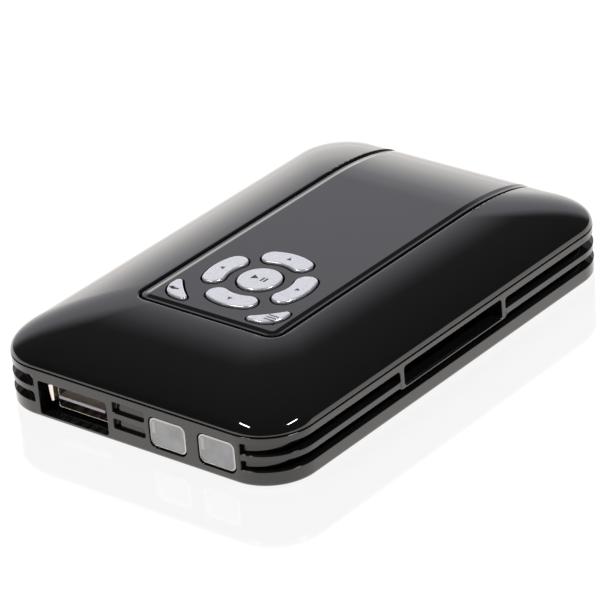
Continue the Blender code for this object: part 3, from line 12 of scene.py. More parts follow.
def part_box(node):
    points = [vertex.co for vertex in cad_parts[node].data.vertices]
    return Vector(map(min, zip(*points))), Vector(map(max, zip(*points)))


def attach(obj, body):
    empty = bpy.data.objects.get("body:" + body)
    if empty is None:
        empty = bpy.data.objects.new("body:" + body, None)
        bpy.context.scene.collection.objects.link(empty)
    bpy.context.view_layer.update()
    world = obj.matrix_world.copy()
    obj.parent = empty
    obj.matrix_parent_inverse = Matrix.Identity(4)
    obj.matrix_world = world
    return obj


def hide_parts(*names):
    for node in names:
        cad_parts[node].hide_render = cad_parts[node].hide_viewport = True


bl_info = {
    "name": "Media player",
    "version": (1, 0, 0),
    "blender": (4, 5, 0),
    "location": "View3D > Sidebar > Player",
    "description": "Palm-sized media player with a domed gloss shell and a round keypad",
    "category": "Add Mesh",
}

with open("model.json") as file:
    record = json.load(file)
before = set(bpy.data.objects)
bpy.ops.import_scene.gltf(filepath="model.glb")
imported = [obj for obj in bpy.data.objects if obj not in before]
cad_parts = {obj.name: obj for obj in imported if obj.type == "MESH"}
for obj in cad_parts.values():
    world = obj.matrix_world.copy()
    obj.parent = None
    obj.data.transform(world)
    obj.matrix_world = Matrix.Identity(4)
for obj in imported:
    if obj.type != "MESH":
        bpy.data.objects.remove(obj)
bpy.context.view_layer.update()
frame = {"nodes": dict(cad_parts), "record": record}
NODES = frame["nodes"]

MM = 0.001
ROOT = "player"
# A corner this near to a place, in millimetres, counts as there
CLOSE = 0.01
# A face whose normal has more than this share along an axis counts as facing that way
FACING = 0.9

# Outer form, in millimetres. The dome is a little fuller than the solids' one
HALF_WIDTH = 36.0
HALF_LENGTH = 54.6
CORNER = 10.6
CASE_LOW = 0.5
CASE_TOP = 11.0
SHELL_LOW = 11.35
DOME_LOW = 11.5
DOME_RISE = 6.7
DOME_SHOULDER = 1.87
DOME_FULLNESS = 1.99
FLAT_HALF_WIDTH = 15.0
FLAT_FRONT = -28.0
FLAT_BACK = 30.0
LIP_SET = 0.0035
LIP_BLEND = 0.02
SHELL_WALL = 2.4
DOME_LEVELS = 30
LEAST_REACH = 0.05
RIM_CLEARANCE = 1.0
CORNER_SEGMENTS = 28

# Centre strip and keypad
PANEL_HALF_WIDTH = 17.15
PANEL_FRONT = -30.85
RIM_FRONT = -31.35
PANEL_CORNER = 2.3
PANEL_LOW = 12.85
PANEL_THICK = 1.2
PANEL_GAP = 0.65
PANEL_SEAT = 1.5
PANEL_FAR = 58.0
PANEL_BORDER = 0.5
PANEL_STEP = 1.15
PANEL_STEP_RISE = 0.23
# Shares of the step's width and rise that its first three rings take. Three more mirror them
PANEL_STEP_RINGS = ((0.06, 0.015), (0.06, 0.05), (0.38, 0.435))
PANEL_SEGMENTS = 14
PANEL_ROUND = 0.12
# Opposite corners of the block that trims the strip, and of the hole in the shell under the keypad
TRIM = ((-30, -40), (30, 60))
KEYPAD_HOLE = ((-15.5, -29.3, 11), (15.5, -1.4, 17))
KEY_HOLE = (14, 20)
RIM_FOOT = PANEL_LOW + 0.3
RIM_SLACK = 0.1
STRIP_FOOT = DOME_LOW - 1.9
PLATEAU = DOME_LOW + DOME_RISE
KEYPAD_X = 0.08
KEYPAD_Y = -14.03
KEY_GAP = 0.4
KEY_FLANGE = 0.7
KEY_FLANGE_LOW = 16.1
KEY_FLANGE_TOP = 16.7
MARK_THICK = 0.02
PAINT_LOW = 18.1
KEY_TOP = 18.65 - MARK_THICK
CENTER_KEY = 4.5
ARC_INNER = 7.1
ARC_OUTER = 11.7
ARC_HALF_ANGLE = math.radians(36.5)
ARC_FILLET = 2.3
CORNER_KEY_POINTS = ((14.0, -6.7), (6.1, -14.0), (14.7, -14.0))
CORNER_KEY_FILLETS = (0.9, 0.9, 4.3)
CORNER_KEY_HOLLOW = 0.5
CORNER_KEY_HOLLOW_REACH = 3.0
CORNER_KEY_STEPS = 10
PLAY_SIZE = 1.5
PAUSE_BAR = (0.4, 1.5)
ARROW_SIZE = 0.95
LIST_BAR = (2.4, 0.3)
RETURN_ARROW = 1.1
RETURN_BAR = (1.6, 0.35)

# Bottom case
CAVITY_X = 31.8
CAVITY_Y = 52.0
CAVITY_CORNER = 6.6
FLOOR_TOP = 1.5
CASE_ROUND = 0.9
GROOVES = (("lower", 3.8, 5.9), ("upper", 7.2, 9.5))
GROOVE_X = 33.0
GROOVE_Y = 53.55
GROOVE_CORNER = 9.2
GROOVE_DRAFT = 0.2126
GROOVE_FILLET = 0.15
GROOVE_END_ROUND = 0.45
FRAME_ROUND = 0.75
GROOVE_RING = (40, 58)
FRONT_GROOVE = (-24.6, 26.7)
BACK_GROOVE = 24.0
RECESS = (-4.5, 3.45)
RECESS_ROUND = 0.45
# How far a cutter runs past the wall that it cuts
PAST = 2
SLOT = (15.9, 5.7, 9.9)
SLOT_CORNER = 0.8
SLOT_FRAME_Y = 17.1
SLOT_FRAME_LOW = 5.3
VIDEO_GAP = 0.5
VIDEO_CUT = 1.8
JACK_HOLE = 3.3
JACK_HEIGHT = 6.0
# Radius and top of the foot pockets and the screw wells
FOOT_WELL = (4.3, 1.0)
SCREW_WELL = (2.5, 1.4)
VENT_YS = (-9, -5.4, -1.8, 1.8, 5.4, 9)
VENT_HALF = (12, 0.8)
VENT_ROUND = 0.79
# Half width, front, back, depth and corner of the bare recess for a label
LABEL = (15, 18.5, 33.5, 0.2, 1.0)

# Port and windows
USB_X = -14.775
USB_OPENING = (8.725, 1.6, 8.75)
USB_OPENING_CORNER = 0.6
USB_MOUTH = -51.8
USB_LOW = 2.25
USB_SHEET = 0.3
USB_CORNER = 0.5
USB_BORE_CORNER = 0.3
SHEET_ROUND = 0.1
TAB_LOW = 4.4
TAB_HIGH = 8.0
TAB_BEND = -53.2
TAB_FLARE = 0.48
TAB_SLACK = 0.4
TONGUE_LOW = 4.72
TONGUE_HIGH = 5.45
TONGUE_LEFT = 0.3
TONGUE_RIGHT = 0.2
TONGUE_ROOT = 2.7
CONTACT_XS = (-3.45, -1.15, 1.15, 3.45)
CONTACT_HALF = 0.5
CONTACT_SET_BACK = 0.8
CONTACT_THICK = 0.12
CONTACT_ROUND = 0.04
WINDOW_XS = (9.0, 21.0)
WINDOW_HALF = 4.4
WINDOW_LOW = 2.63
WINDOW_HIGH = 8.93
WINDOW_CORNER = 1.35
WINDOW_GAP = 0.2
WINDOW_FRONT = -54.45
WINDOW_LEFT_GAP = 0.12
WINDOW_FOOT_GAP = 0.22
WINDOW_LIP = 0.08
WINDOW_RIM_WIDE = 0.42
WINDOW_RIM_NARROW = 0.1
WINDOW_SUNK = 0.12
# The light guide's end: left, right, foot and top, from the window's middle and the floor
GUIDE = (-3.95, -3.0, 5.5, 8.2)
GUIDE_PROUD = 0.04
GUIDE_DEPTH = 0.4
GUIDE_ROUND = 0.03


def srgb(code):
    """A hex colour such as c8c8cc, turned to linear red, green, blue and alpha."""
    values = [int(code[i : i + 2], 16) / 255 for i in (0, 2, 4)]
    linear = [v / 12.92 if v <= 0.04045 else ((v + 0.055) / 1.055) ** 2.4 for v in values]
    return (*linear, 1.0)


def colour(name, code, words):
    return FloatVectorProperty(
        name=name, description=words, subtype="COLOR", size=4, min=0.0, max=1.0, default=srgb(code)
    )


def length(name, millimetres, words):
    return FloatProperty(name=name, description=words, unit="LENGTH", min=0.0, default=millimetres * MM)


class PlayerSizes(bpy.types.PropertyGroup):
    edge_round: length("Edge round", 0.15, "Round on the moulded edges of the case and the shell")
    seat_round: length("Seat edge round", 0.5, "Round on the shell's edge round the centre strip")
    key_round: length("Key edge round", 0.32, "Round on the top edge of each key")


class PlayerColours(bpy.types.PropertyGroup):
    shell: colour("Shell", "121212", "Gloss black of the shell, strip and case")
    key: colour("Keys", "d5d6db", "Silver paint of the keys")
    mark: colour("Key marks", "1c1c20", "Printed marks on the keys")
    board: colour("Boards", "16502c", "Solder mask of the circuit boards")
    floor: colour("Floor", "f4f4f4", "Studio floor")


def sizes():
    return bpy.context.scene.player_sizes


def colours():
    return bpy.context.scene.player_colours


# Modelling by hand, put in words that repeat


def nothing_selected():
    if bpy.context.object and bpy.context.object.mode != "OBJECT":
        bpy.ops.object.mode_set(mode="OBJECT")
    bpy.ops.object.select_all(action="DESELECT")


def take(obj):
    """Selects one object alone and makes it active."""
    nothing_selected()
    obj.select_set(True)
    bpy.context.view_layer.objects.active = obj
    return obj


def settle(name):
    """Names the active object and puts its place, turn and size into its mesh."""
    obj = bpy.context.object
    obj.name = name
    obj.data.name = name
    take(obj)
    bpy.ops.object.transform_apply(location=True, rotation=True, scale=True)
    return obj


def edit(obj, kind, action="DESELECT"):
    """Enters edit mode, in vertex, edge or face mode, with nothing or everything selected."""
    take(obj)
    bpy.ops.object.mode_set(mode="EDIT")
    bpy.ops.mesh.select_mode(type=kind)
    bpy.ops.mesh.select_all(action=action)


def pick(obj, kind, test):
    """Enters edit mode with only those verts, edges or faces selected that pass a test."""
    edit(obj, kind[:-1].upper())
    mesh = bmesh.from_edit_mesh(obj.data)
    found = [element for element in getattr(mesh, kind) if test(element)]
    if not found:
        raise RuntimeError("%s has none of the %s that are looked for" % (obj.name, kind))
    for element in found:
        element.select_set(True)
    mesh.select_flush_mode()
    bmesh.update_edit_mesh(obj.data)


def leave():
    bpy.ops.object.mode_set(mode="OBJECT")


def inset(width, rise=0):
    """Insets the selected faces by a width and lifts them by a rise, in millimetres."""
    bpy.ops.mesh.inset(thickness=width * MM, depth=rise * MM, use_even_offset=True)


def round_edges(obj, test, width, segments, clamp=False):
    """Bevels the edges that pass a test."""
    pick(obj, "edges", test)
    bpy.ops.mesh.bevel(offset=width, segments=segments, affect="EDGES", clamp_overlap=clamp)
    leave()
    return obj


def repaint(obj, material, test):
    """Gives the faces that pass a test a second material."""
    obj.data.materials.append(material)
    pick(obj, "faces", test)
    obj.active_material_index = len(obj.data.materials) - 1
    bpy.ops.object.material_slot_assign()
    leave()


def block(name, low, high):
    """A block between two corners, in millimetres."""
    nothing_selected()
    low = Vector(low) * MM
    high = Vector(high) * MM
    bpy.ops.mesh.primitive_cube_add(size=1, location=(low + high) / 2, scale=high - low)
    return settle(name)


def runs_along(edge, axis):
    direction = (edge.verts[1].co - edge.verts[0].co).normalized()
    return abs(direction["XYZ".index(axis)]) > 0.999


def rounded_block(name, low, high, radius, axis="Z", segments=8):
    """A block whose edges along one axis are rounded."""
    return round_edges(block(name, low, high), lambda edge: runs_along(edge, axis), radius * MM, segments)


def rod(name, radius, low, high, centre, axis="Z"):
    """A round bar along Y or Z. centre holds its place on the two other axes, in their order."""
    nothing_selected()
    place = list(centre)
    place.insert("XYZ".index(axis), (low + high) / 2)
    bpy.ops.mesh.primitive_cylinder_add(
        vertices=48,
        radius=radius * MM,
        depth=(high - low) * MM,
        location=Vector(place) * MM,
        rotation=(-math.pi / 2 if axis == "Y" else 0, 0, 0),
    )
    return settle(name)


def modify(obj, kind, **settings):
    """Adds a modifier and applies it."""
    take(obj)
    modifier = obj.modifiers.new(kind.lower(), kind)
    for key, value in settings.items():
        setattr(modifier, key, value)
    bpy.ops.object.modifier_apply(modifier=modifier.name)
    return obj


def boolean(obj, tool, operation="DIFFERENCE"):
    modify(obj, "BOOLEAN", operation=operation, object=tool, solver="EXACT")
    bpy.data.objects.remove(tool, do_unlink=True)
    return obj


def soften(obj, width, segments=2, angle=50):
    """Rounds every sharp edge by a little, as a mould does."""
    return modify(
        obj,
        "BEVEL",
        width=width,
        segments=segments,
        limit_method="ANGLE",
        angle_limit=math.radians(angle),
        use_clamp_overlap=False,
        miter_outer="MITER_ARC",
    )


def smooth(obj, angle=35):
    """Smooth shading that keeps large flat faces flat."""
    take(obj)
    bpy.ops.object.shade_smooth_by_angle(angle=math.radians(angle))
    return modify(obj, "WEIGHTED_NORMAL", keep_sharp=True, weight=50)


def outline_solid(name, outlines, low, high, axis="Z"):
    """Flat closed outlines, in millimetres, given a thickness along an axis."""
    nothing_selected()
    curve = bpy.data.curves.new(name, "CURVE")
    curve.dimensions = "2D"
    curve.fill_mode = "BOTH"
    curve.extrude = (high - low) / 2 * MM
    for points in outlines:
        spline = curve.splines.new("POLY")
        spline.points.add(len(points) - 1)
        for point, (u, v) in zip(spline.points, points):
            point.co = (u * MM, v * MM, 0, 1)
        spline.use_cyclic_u = True
    obj = bpy.data.objects.new(name, curve)
    bpy.context.scene.collection.objects.link(obj)
    take(obj)
    bpy.ops.object.convert(target="MESH")
    obj = bpy.context.object
    turn = Matrix.Rotation(math.pi / 2 if axis == "Y" else 0, 4, "X")
    middle = Vector((0, 0, 0))
    middle["XYZ".index(axis)] = (low + high) / 2 * MM
    obj.matrix_world = Matrix.Translation(middle) @ turn
    settle(name)
    edit(obj, "VERT", "SELECT")
    bpy.ops.mesh.remove_doubles(threshold=0.000002)
    bpy.ops.mesh.dissolve_limited(angle_limit=math.radians(0.2))
    bpy.ops.mesh.normals_make_consistent(inside=False)
    leave()
    return obj


# Outlines of the keys, in millimetres from the keypad's middle


def arc(centre, radius, start, end, steps):
    angles = [start + (end - start) * i / steps for i in range(steps + 1)]
    return [(centre[0] + radius * math.cos(angle), centre[1] + radius * math.sin(angle)) for angle in angles]


def turn_points(points, angle):
    cosine = math.cos(angle)
    sine = math.sin(angle)
    return [(u * cosine - v * sine, u * sine + v * cosine) for u, v in points]


def mirror_points(points):
    return [(-u, v) for u, v in reversed(points)]


def arc_key(grow=0.0):
    """A ring sector with round ends, on the +X side."""
    far = ARC_OUTER - ARC_FILLET
    near = ARC_INNER + ARC_FILLET
    far_angle = ARC_HALF_ANGLE - math.asin(ARC_FILLET / far)
    near_angle = ARC_HALF_ANGLE - math.asin(ARC_FILLET / near)
    side = ARC_HALF_ANGLE + math.pi / 2
    radius = ARC_FILLET + grow
    upper_far = (far * math.cos(far_angle), far * math.sin(far_angle))
    upper_near = (near * math.cos(near_angle), near * math.sin(near_angle))
    lower_far = (upper_far[0], -upper_far[1])
    lower_near = (upper_near[0], -upper_near[1])
    points = arc((0, 0), ARC_OUTER + grow, -far_angle, far_angle, 18)
    points += arc(upper_far, radius, far_angle, side, 12)[1:]
    points += arc(upper_near, radius, side, near_angle + math.pi, 12)[1:]
    points += arc((0, 0), ARC_INNER - grow, near_angle, -near_angle, 12)[1:]
    points += arc(lower_near, radius, -near_angle - math.pi, -side, 12)[1:]
    points += arc(lower_far, radius, -side, -far_angle, 12)[1:-1]
    return points


def corner_key(grow=0.0):
    """A rounded triangle at the +X front corner."""
    points = []
    for i, fillet in enumerate(CORNER_KEY_FILLETS):
        before, here, after = (Vector(CORNER_KEY_POINTS[(i + k) % 3]) for k in (-1, 0, 1))
        back = (before - here).normalized()
        ahead = (after - here).normalized()
        half = back.angle(ahead) / 2
        middle = here + (back + ahead).normalized() * fillet / math.sin(half)
        start = math.atan2(-back.x, back.y) + math.pi
        points += arc(middle, fillet + grow, start, start + math.pi - 2 * half, CORNER_KEY_STEPS)
    return hollow_side(points)


def hollow_side(points):
    """Presses in the side that faces the ring, so that it runs round the keypad's middle."""
    first, second, far = (Vector(point) for point in CORNER_KEY_POINTS)
    along = (second - first).normalized()
    inward = Vector((-along.y, along.x))
    if inward.dot(far - first) < 0:
        inward = -inward
    pressed = []
    for i, point in enumerate(points):
        # The long straight side starts where the first fillet ends
        steps = 12 if i == CORNER_KEY_STEPS else 1
        after = Vector(points[(i + 1) % len(points)])
        for k in range(steps):
            here = Vector(point).lerp(after, k / steps)
            share = (here - first).dot(along) / (second - first).length
            deep = max(0.0, 1 - max(0.0, (here - first).dot(inward)) / CORNER_KEY_HOLLOW_REACH)
            push = CORNER_KEY_HOLLOW * max(0.0, 4 * share * (1 - share)) * deep
            pressed.append(tuple(here + inward * push))
    return pressed


def center_key(grow=0.0):
    return arc((0, 0), CENTER_KEY + grow, 0, 2 * math.pi, 72)[:-1]


def key_shapes():
    """Name and outline function of each key."""
    shapes = {"center": center_key}
    for name, quarter in (("right", 0), ("back", 1), ("left", 2), ("front", 3)):
        shapes[name] = lambda grow=0.0, q=quarter: turn_points(arc_key(grow), q * math.pi / 2)
    shapes["corner_right"] = corner_key
    shapes["corner_left"] = lambda grow=0.0: mirror_points(corner_key(grow))
    return shapes


def on_keypad(points):
    return [(u + KEYPAD_X, v + KEYPAD_Y) for u, v in points]


# Materials


def add_node(material, kind, sockets=None, **settings):
    """Adds a node. Sockets take a value, or a link as (node, output); settings go by their names."""
    node = material.node_tree.nodes.new(kind)
    for key, value in settings.items():
        if key in node.inputs:
            node.inputs[key].default_value = value
        else:
            setattr(node, key, value)
    for key, value in (sockets or {}).items():
        if isinstance(value, tuple):
            source, output = value
            material.node_tree.links.new(source.outputs[output], node.inputs[key])
        else:
            node.inputs[key].default_value = value
    return node


def principled(name, base, roughness, metallic=0.0, **sockets):
    """A Principled material, made once for each name, and its shader."""
    found = bpy.data.materials.get(name)
    if found:
        return found, found.node_tree.nodes["Principled BSDF"]
    made = bpy.data.materials.new(name)
    made.use_nodes = True
    shader = made.node_tree.nodes["Principled BSDF"]
    shader.inputs["Base Color"].default_value = base
    shader.inputs["Roughness"].default_value = roughness
    shader.inputs["Metallic"].default_value = metallic
    for socket, value in sockets.items():
        shader.inputs[socket.replace("_", " ")].default_value = value
    made.diffuse_color = base
    return made, shader


def shade(tone, factor):
    """A colour made darker or lighter."""
    return (*(part * factor for part in tone[:3]), 1.0)


def mottle(made, shader, size, detail, edge, tones):
    """Lets soft noise, its size in millimetres, vary the colour between two tones."""
    if "place" in made.node_tree.nodes:
        return made
    place = (add_node(made, "ShaderNodeTexCoord", name="place"), "Object")
    noise = add_node(made, "ShaderNodeTexNoise", {"Vector": place}, Scale=1 / (size * MM), Detail=detail)
    ramp = add_node(made, "ShaderNodeValToRGB", {"Fac": (noise, "Fac")})
    for stop, position, tone in zip(ramp.color_ramp.elements, (edge, 1 - edge), tones):
        stop.position = position
        stop.color = tone
    made.node_tree.links.new(ramp.outputs["Color"], shader.inputs["Base Color"])
    return made


def gloss_abs():
    """Black ABS moulded in a polished tool: a near-black body under a mirror-smooth skin."""
    return principled("abs_gloss_moulded", colours().shell, 0.045, IOR=1.54)[0]


def silver_paint():
    """Silver paint sprayed on moulded keys: fine flakes give a soft grey with a faint grain."""
    key = colours().key
    made, shader = principled("silver_paint_sprayed", key, 0.26, 0.6)
    # Flakes of about 0.05 mm, drawn three times too coarse so that the render shows them
    return mottle(made, shader, 0.16, 1.0, 0.3, (shade(key, 0.85), shade(key, 1.1425)))


def print_ink():
    """Dark pad-printed ink on the keys: thin, matte and slightly warm."""
    return principled("ink_pad_printed", colours().mark, 0.5)[0]


def board_mask():
    """Glass-epoxy board under green solder mask: satin, slightly deep green."""
    return principled("board_solder_mask", colours().board, 0.35, Coat_Weight=0.3)[0]


# Finishes of one even colour: its hex code, its roughness and, for metals, 1 as metallic
PLAIN_FINISHES = {
    # Black epoxy of chips, transfer-moulded: fine matte grain
    "epoxy_moulded": ("1b1b1d", 0.6),
    # Nickel-plated sheet steel, stamped and folded: bright and slightly warm
    "nickel_plated_steel": ("c6bfb6", 0.22, 1.0),
    # Pale nylon of contact carriers, moulded: milky and half matte
    "nylon_moulded_pale": ("b5b2bb", 0.4),
    # The same nylon painted paler on the tongue's back, its top faces: painted light that stands in for light
    # falling in through the opening
    "nylon_moulded_white": ("efeae2", 0.35),
    # Black nylon of sockets, moulded: matte with soft highlights
    "nylon_moulded_black": ("17171a", 0.45),
    # Thin gold plating on spring contacts
    "gold_plated_contact": ("d8a860", 0.25, 1.0),
    # Extruded aluminium, satin
    "aluminium_extruded": ("c4c6c9", 0.35, 1.0),
    # Moulded rubber of the feet: black, matte
    "rubber_moulded": ("222224", 0.85),
    # Steel screws, blackened
    "steel_blackened": ("3a3a3d", 0.35, 1.0),
}


def plain(name):
    """One of the even finishes."""
    code, *values = PLAIN_FINISHES[name]
    return principled(name, srgb(code), *values)[0]


def clear_window():
    """Clear acrylic, moulded in a polished tool: glassy, with a faint grey body."""
    return principled("acrylic_clear_moulded", srgb("f2f4f6"), 0.04, IOR=1.49, Transmission_Weight=1.0)[0]


def milky_acrylic():
    """Clear acrylic over a milky light guide, seen as one: a soft grey body under a glassy skin."""
    made, shader = principled(
        "acrylic_milky_moulded", srgb("77787c"), 0.3, Coat_Weight=1.0, Coat_Roughness=0.03
    )
    # Flow marks a few millimetres long, drawn softly
    return mottle(made, shader, 3.5, 2.0, 0.35, (srgb("6c6d71"), srgb("828387")))


def guide_painted_highlight():
    """End of the light guide inside the window, painted paler than what lies round it: a painted highlight.
    """
    return principled("acrylic_guide_end", srgb("9c9da1"), 0.3, Coat_Weight=1.0)[0]


def lit_edge():
    """Bevelled edge of clear acrylic, painted almost white: a painted highlight for the light that the real
    edge gathers.
    """
    return principled("acrylic_edge_polished", srgb("bdb9b3"), 0.25, Coat_Weight=1.0)[0]


def dress(obj, material):
    """Gives an object one material alone."""
    obj.data.materials.clear()
    obj.data.materials.append(material)
    return obj


def hand_over(obj, body, slot, material, *replaced):
    """The piece gets its finish, rides on its body and stands for the solids that it replaces."""
    dress(obj, material)
    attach(obj, body)
    if replaced:
        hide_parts(*replaced)
    return obj


# Pieces


def dome_levels():
    """Level by level, how far out the dome still reaches and how high it has risen, as shares."""
    levels = [(1.0, 0.0)]
    for i in range(1, DOME_LEVELS + 1):
        angle = i / DOME_LEVELS * math.pi / 2
        reach = max(math.cos(angle), 0.0) ** (2 / DOME_SHOULDER)
        rise = math.sin(angle) ** (2 / DOME_FULLNESS)
        set_in = LIP_SET * (1 - math.exp(-rise / LIP_BLEND))
        half_width = FLAT_HALF_WIDTH + (HALF_WIDTH - FLAT_HALF_WIDTH) * reach
        beyond_rim = half_width - PANEL_HALF_WIDTH - PANEL_GAP
        # No level runs through the round on the recess's rim
        if (reach > LEAST_REACH and not 0 < beyond_rim < RIM_CLEARANCE) or i == DOME_LEVELS:
            levels.append((reach * (1 - set_in), rise))
    return levels


def dome_form(name, inset, bottom):
    """The pillow form: an outline extruded level by level, each level drawn in along a superellipse."""
    nothing_selected()
    half_x = HALF_WIDTH - inset
    half_y = HALF_LENGTH - inset
    bpy.ops.mesh.primitive_plane_add(size=1, location=(0, 0, bottom * MM))
    bpy.context.object.scale = (2 * half_x * MM, 2 * half_y * MM, 1)
    obj = settle(name)
    edit(obj, "VERT", "SELECT")
    bpy.ops.mesh.bevel(offset=(CORNER - inset) * MM, segments=CORNER_SEGMENTS, affect="VERTICES")
    edit(obj, "FACE", "SELECT")
    share_x = FLAT_HALF_WIDTH / half_x
    flat_half = (FLAT_BACK - FLAT_FRONT) / 2
    flat_middle = (FLAT_BACK + FLAT_FRONT) / 2
    share_y = flat_half / half_y
    still_y = flat_middle / (1 - share_y)
    height = bottom
    scale_x = scale_y = 1.0
    for reach, rise in dome_levels():
        level = DOME_LOW + (DOME_RISE - inset) * rise
        step = (0, 0, (level - height) * MM)
        bpy.ops.mesh.extrude_region_move(TRANSFORM_OT_translate={"value": step})
        new_x = share_x + (1 - share_x) * reach
        new_y = share_y + (1 - share_y) * reach
        if reach < 1.0:
            still = (0, still_y * MM, level * MM)
            bpy.ops.transform.resize(value=(new_x / scale_x, new_y / scale_y, 1), center_override=still)
        height = level
        scale_x = new_x
        scale_y = new_y
    bpy.ops.mesh.select_all(action="SELECT")
    bpy.ops.mesh.normals_make_consistent(inside=False)
    leave()
    return obj


def is_seat_rim(edge):
    """Edge between the recess's upright wall and the dome, above the lip at the rear."""
    if len(edge.link_faces) != 2 or min(vert.co.z for vert in edge.verts) < RIM_FOOT * MM:
        return False
    wall, dome = sorted((face.normal for face in edge.link_faces), key=lambda normal: abs(normal.z))
    place = edge.verts[0].co / MM
    half = PANEL_HALF_WIDTH + PANEL_GAP + RIM_SLACK
    near = abs(place.x) < half and place.y > RIM_FRONT - RIM_SLACK
    return near and abs(wall.z) < 0.01 and dome.z > 0.15


def is_lip_foot(edge):
    """Outer lower edge of the shell, above the parting gap."""
    low = all(abs(vert.co.z - SHELL_LOW * MM) < CLOSE * MM for vert in edge.verts)
    if len(edge.link_faces) != 2 or not low:
        return False
    wall, foot = sorted((face.normal for face in edge.link_faces), key=lambda normal: abs(normal.z))
    middle = (edge.verts[0].co + edge.verts[1].co) / 2
    return abs(wall.z) < 1 - FACING and wall.dot(middle) > 0 and foot.z < -FACING


def let_down(obj):
    """Cuts a strip in rows at the dome's levels and lets each row down as far as the dome has fallen."""
    for reach, _ in dome_levels():
        edit(obj, "EDGE", "SELECT")
        row = (FLAT_BACK + (HALF_LENGTH - FLAT_BACK) * reach) * MM
        bpy.ops.mesh.bisect(plane_co=(0, row, 0), plane_no=(0, 1, 0))
        leave()
    for row in sorted({round(vert.co.y, 6) for vert in obj.data.vertices}):
        fall = dome_fall(row / MM)
        if fall > 0:
            pick(obj, "verts", lambda vert: round(vert.co.y, 6) == row and vert.co.z > STRIP_FOOT * MM)
            bpy.ops.transform.translate(value=(0, 0, -fall * MM))
            leave()
    return obj


class PLAYER_OT_top_shell(bpy.types.Operator):
    """Makes the domed top shell with its recess for the centre strip"""

    bl_idname = "player.top_shell"
    bl_label = "Top shell"

    def execute(self, context):
        shell = dome_form("top_shell_skin", 0, SHELL_LOW)
        boolean(shell, dome_form("hollow", SHELL_WALL, SHELL_LOW - PAST))
        half = PANEL_HALF_WIDTH + PANEL_GAP
        low = (-half, RIM_FRONT, DOME_LOW - PAST)
        high = (half, PANEL_FAR, PLATEAU + PAST)
        recess = rounded_block("recess", low, high, PANEL_CORNER + PANEL_GAP, segments=PANEL_SEGMENTS)
        boolean(recess, trim_block(PANEL_LOW - PANEL_GAP), "INTERSECT")
        boolean(recess, dome_form("seat", PANEL_SEAT, SHELL_LOW - PAST))
        boolean(shell, recess)
        round_edges(shell, is_seat_rim, sizes().seat_round, 5)
        boolean(shell, rounded_block("keypad_hole", *KEYPAD_HOLE, PANEL_CORNER))
        round_edges(shell, is_lip_foot, sizes().edge_round / 2, 2)
        hand_over(smooth(shell), ROOT, "gloss_black_plastic", gloss_abs(), "top_shell")
        return {"FINISHED"}


class PLAYER_OT_control_panel(bpy.types.Operator):
    """Makes the centre strip with its seven key holes"""

    bl_idname = "player.control_panel"
    bl_label = "Centre strip"

    def execute(self, context):
        panel = strip_plate("control_panel_skin")
        boolean(panel, trim_block(PANEL_LOW), "INTERSECT")
        boolean(panel, dome_form("underside", PANEL_THICK, SHELL_LOW - PAST))
        for shape in key_shapes().values():
            boolean(panel, outline_solid("hole", [on_keypad(shape(KEY_GAP))], *KEY_HOLE))
        soften(panel, PANEL_ROUND * MM, angle=60)
        hand_over(smooth(panel), ROOT, "gloss_black_plastic", gloss_abs(), "control_panel")
        return {"FINISHED"}


def trim_block(low):
    """What lies above a height, all round the centre strip."""
    left_front, right_back = TRIM
    return block("trim", (*left_front, low), (*right_back, PLATEAU + 2 * PAST))


def strip_plate(name):
    """The centre strip: a block, its top inset ring by ring, its rows let down over the rear."""
    low = (-PANEL_HALF_WIDTH, PANEL_FRONT, DOME_LOW - PAST)
    high = (PANEL_HALF_WIDTH, PANEL_FAR, PLATEAU - PANEL_STEP_RISE)
    plate = rounded_block(name, low, high, PANEL_CORNER, segments=PANEL_SEGMENTS)
    pick(plate, "faces", lambda face: face.normal.z > FACING)
    # A flat border, then a soft step up
    inset(PANEL_BORDER)
    for width, rise in PANEL_STEP_RINGS + PANEL_STEP_RINGS[::-1]:
        inset(width * PANEL_STEP, rise * PANEL_STEP_RISE)
    leave()
    return let_down(plate)


def dome_fall(y):
    """How far the dome has fallen below its flat top, behind that top."""
    reach = min(max((y - FLAT_BACK) / (HALF_LENGTH - FLAT_BACK), 0.0), 1.0)
    rise = (1 - reach**DOME_SHOULDER) ** (1 / DOME_FULLNESS)
    return DOME_RISE * (1 - rise)


class PLAYER_OT_keys(bpy.types.Operator):
    """Makes the seven painted keys, each with its flange and mark"""

    bl_idname = "player.keys"
    bl_label = "Keys"

    def execute(self, context):
        for name, shape in key_shapes().items():
            key = outline_solid("key_cap_" + name, [on_keypad(shape())], KEY_FLANGE_TOP, KEY_TOP)
            round_edges(key, is_key_rim, sizes().key_round, 5, clamp=True)
            flange = outline_solid("flange", [on_keypad(shape(KEY_FLANGE))], KEY_FLANGE_LOW, KEY_FLANGE_TOP)
            boolean(key, flange, "UNION")
            edit(key, "EDGE", "SELECT")
            bpy.ops.mesh.bisect(plane_co=(0, 0, PAINT_LOW * MM), plane_no=(0, 0, 1))
            leave()
            hand_over(smooth(key), "key_" + name, "silver_key_paint", silver_paint(), "key_" + name)
            # Faces below PAINT_LOW keep the black plastic, as on a key sprayed from above, and this also
            # paints shade into the gap round the key
            repaint(key, gloss_abs(), lambda face: face.calc_center_median().z < PAINT_LOW * MM)
            mark = outline_solid("key_mark_" + name, mark_outlines(name), KEY_TOP, KEY_TOP + MARK_THICK)
            hand_over(mark, "key_" + name, "silver_key_paint", print_ink())
        return {"FINISHED"}


def is_key_rim(edge):
    """Edge between a key's top and its side."""
    high = all(vert.co.z > (KEY_TOP - CLOSE) * MM for vert in edge.verts)
    return high and any(abs(face.normal.z) < 1 - FACING for face in edge.link_faces)


def bar(centre, size):
    u, v = centre
    width, height = size
    corners = ((-1, -1), (1, -1), (1, 1), (-1, 1))
    return [(u + across * width / 2, v + along * height / 2) for across, along in corners]


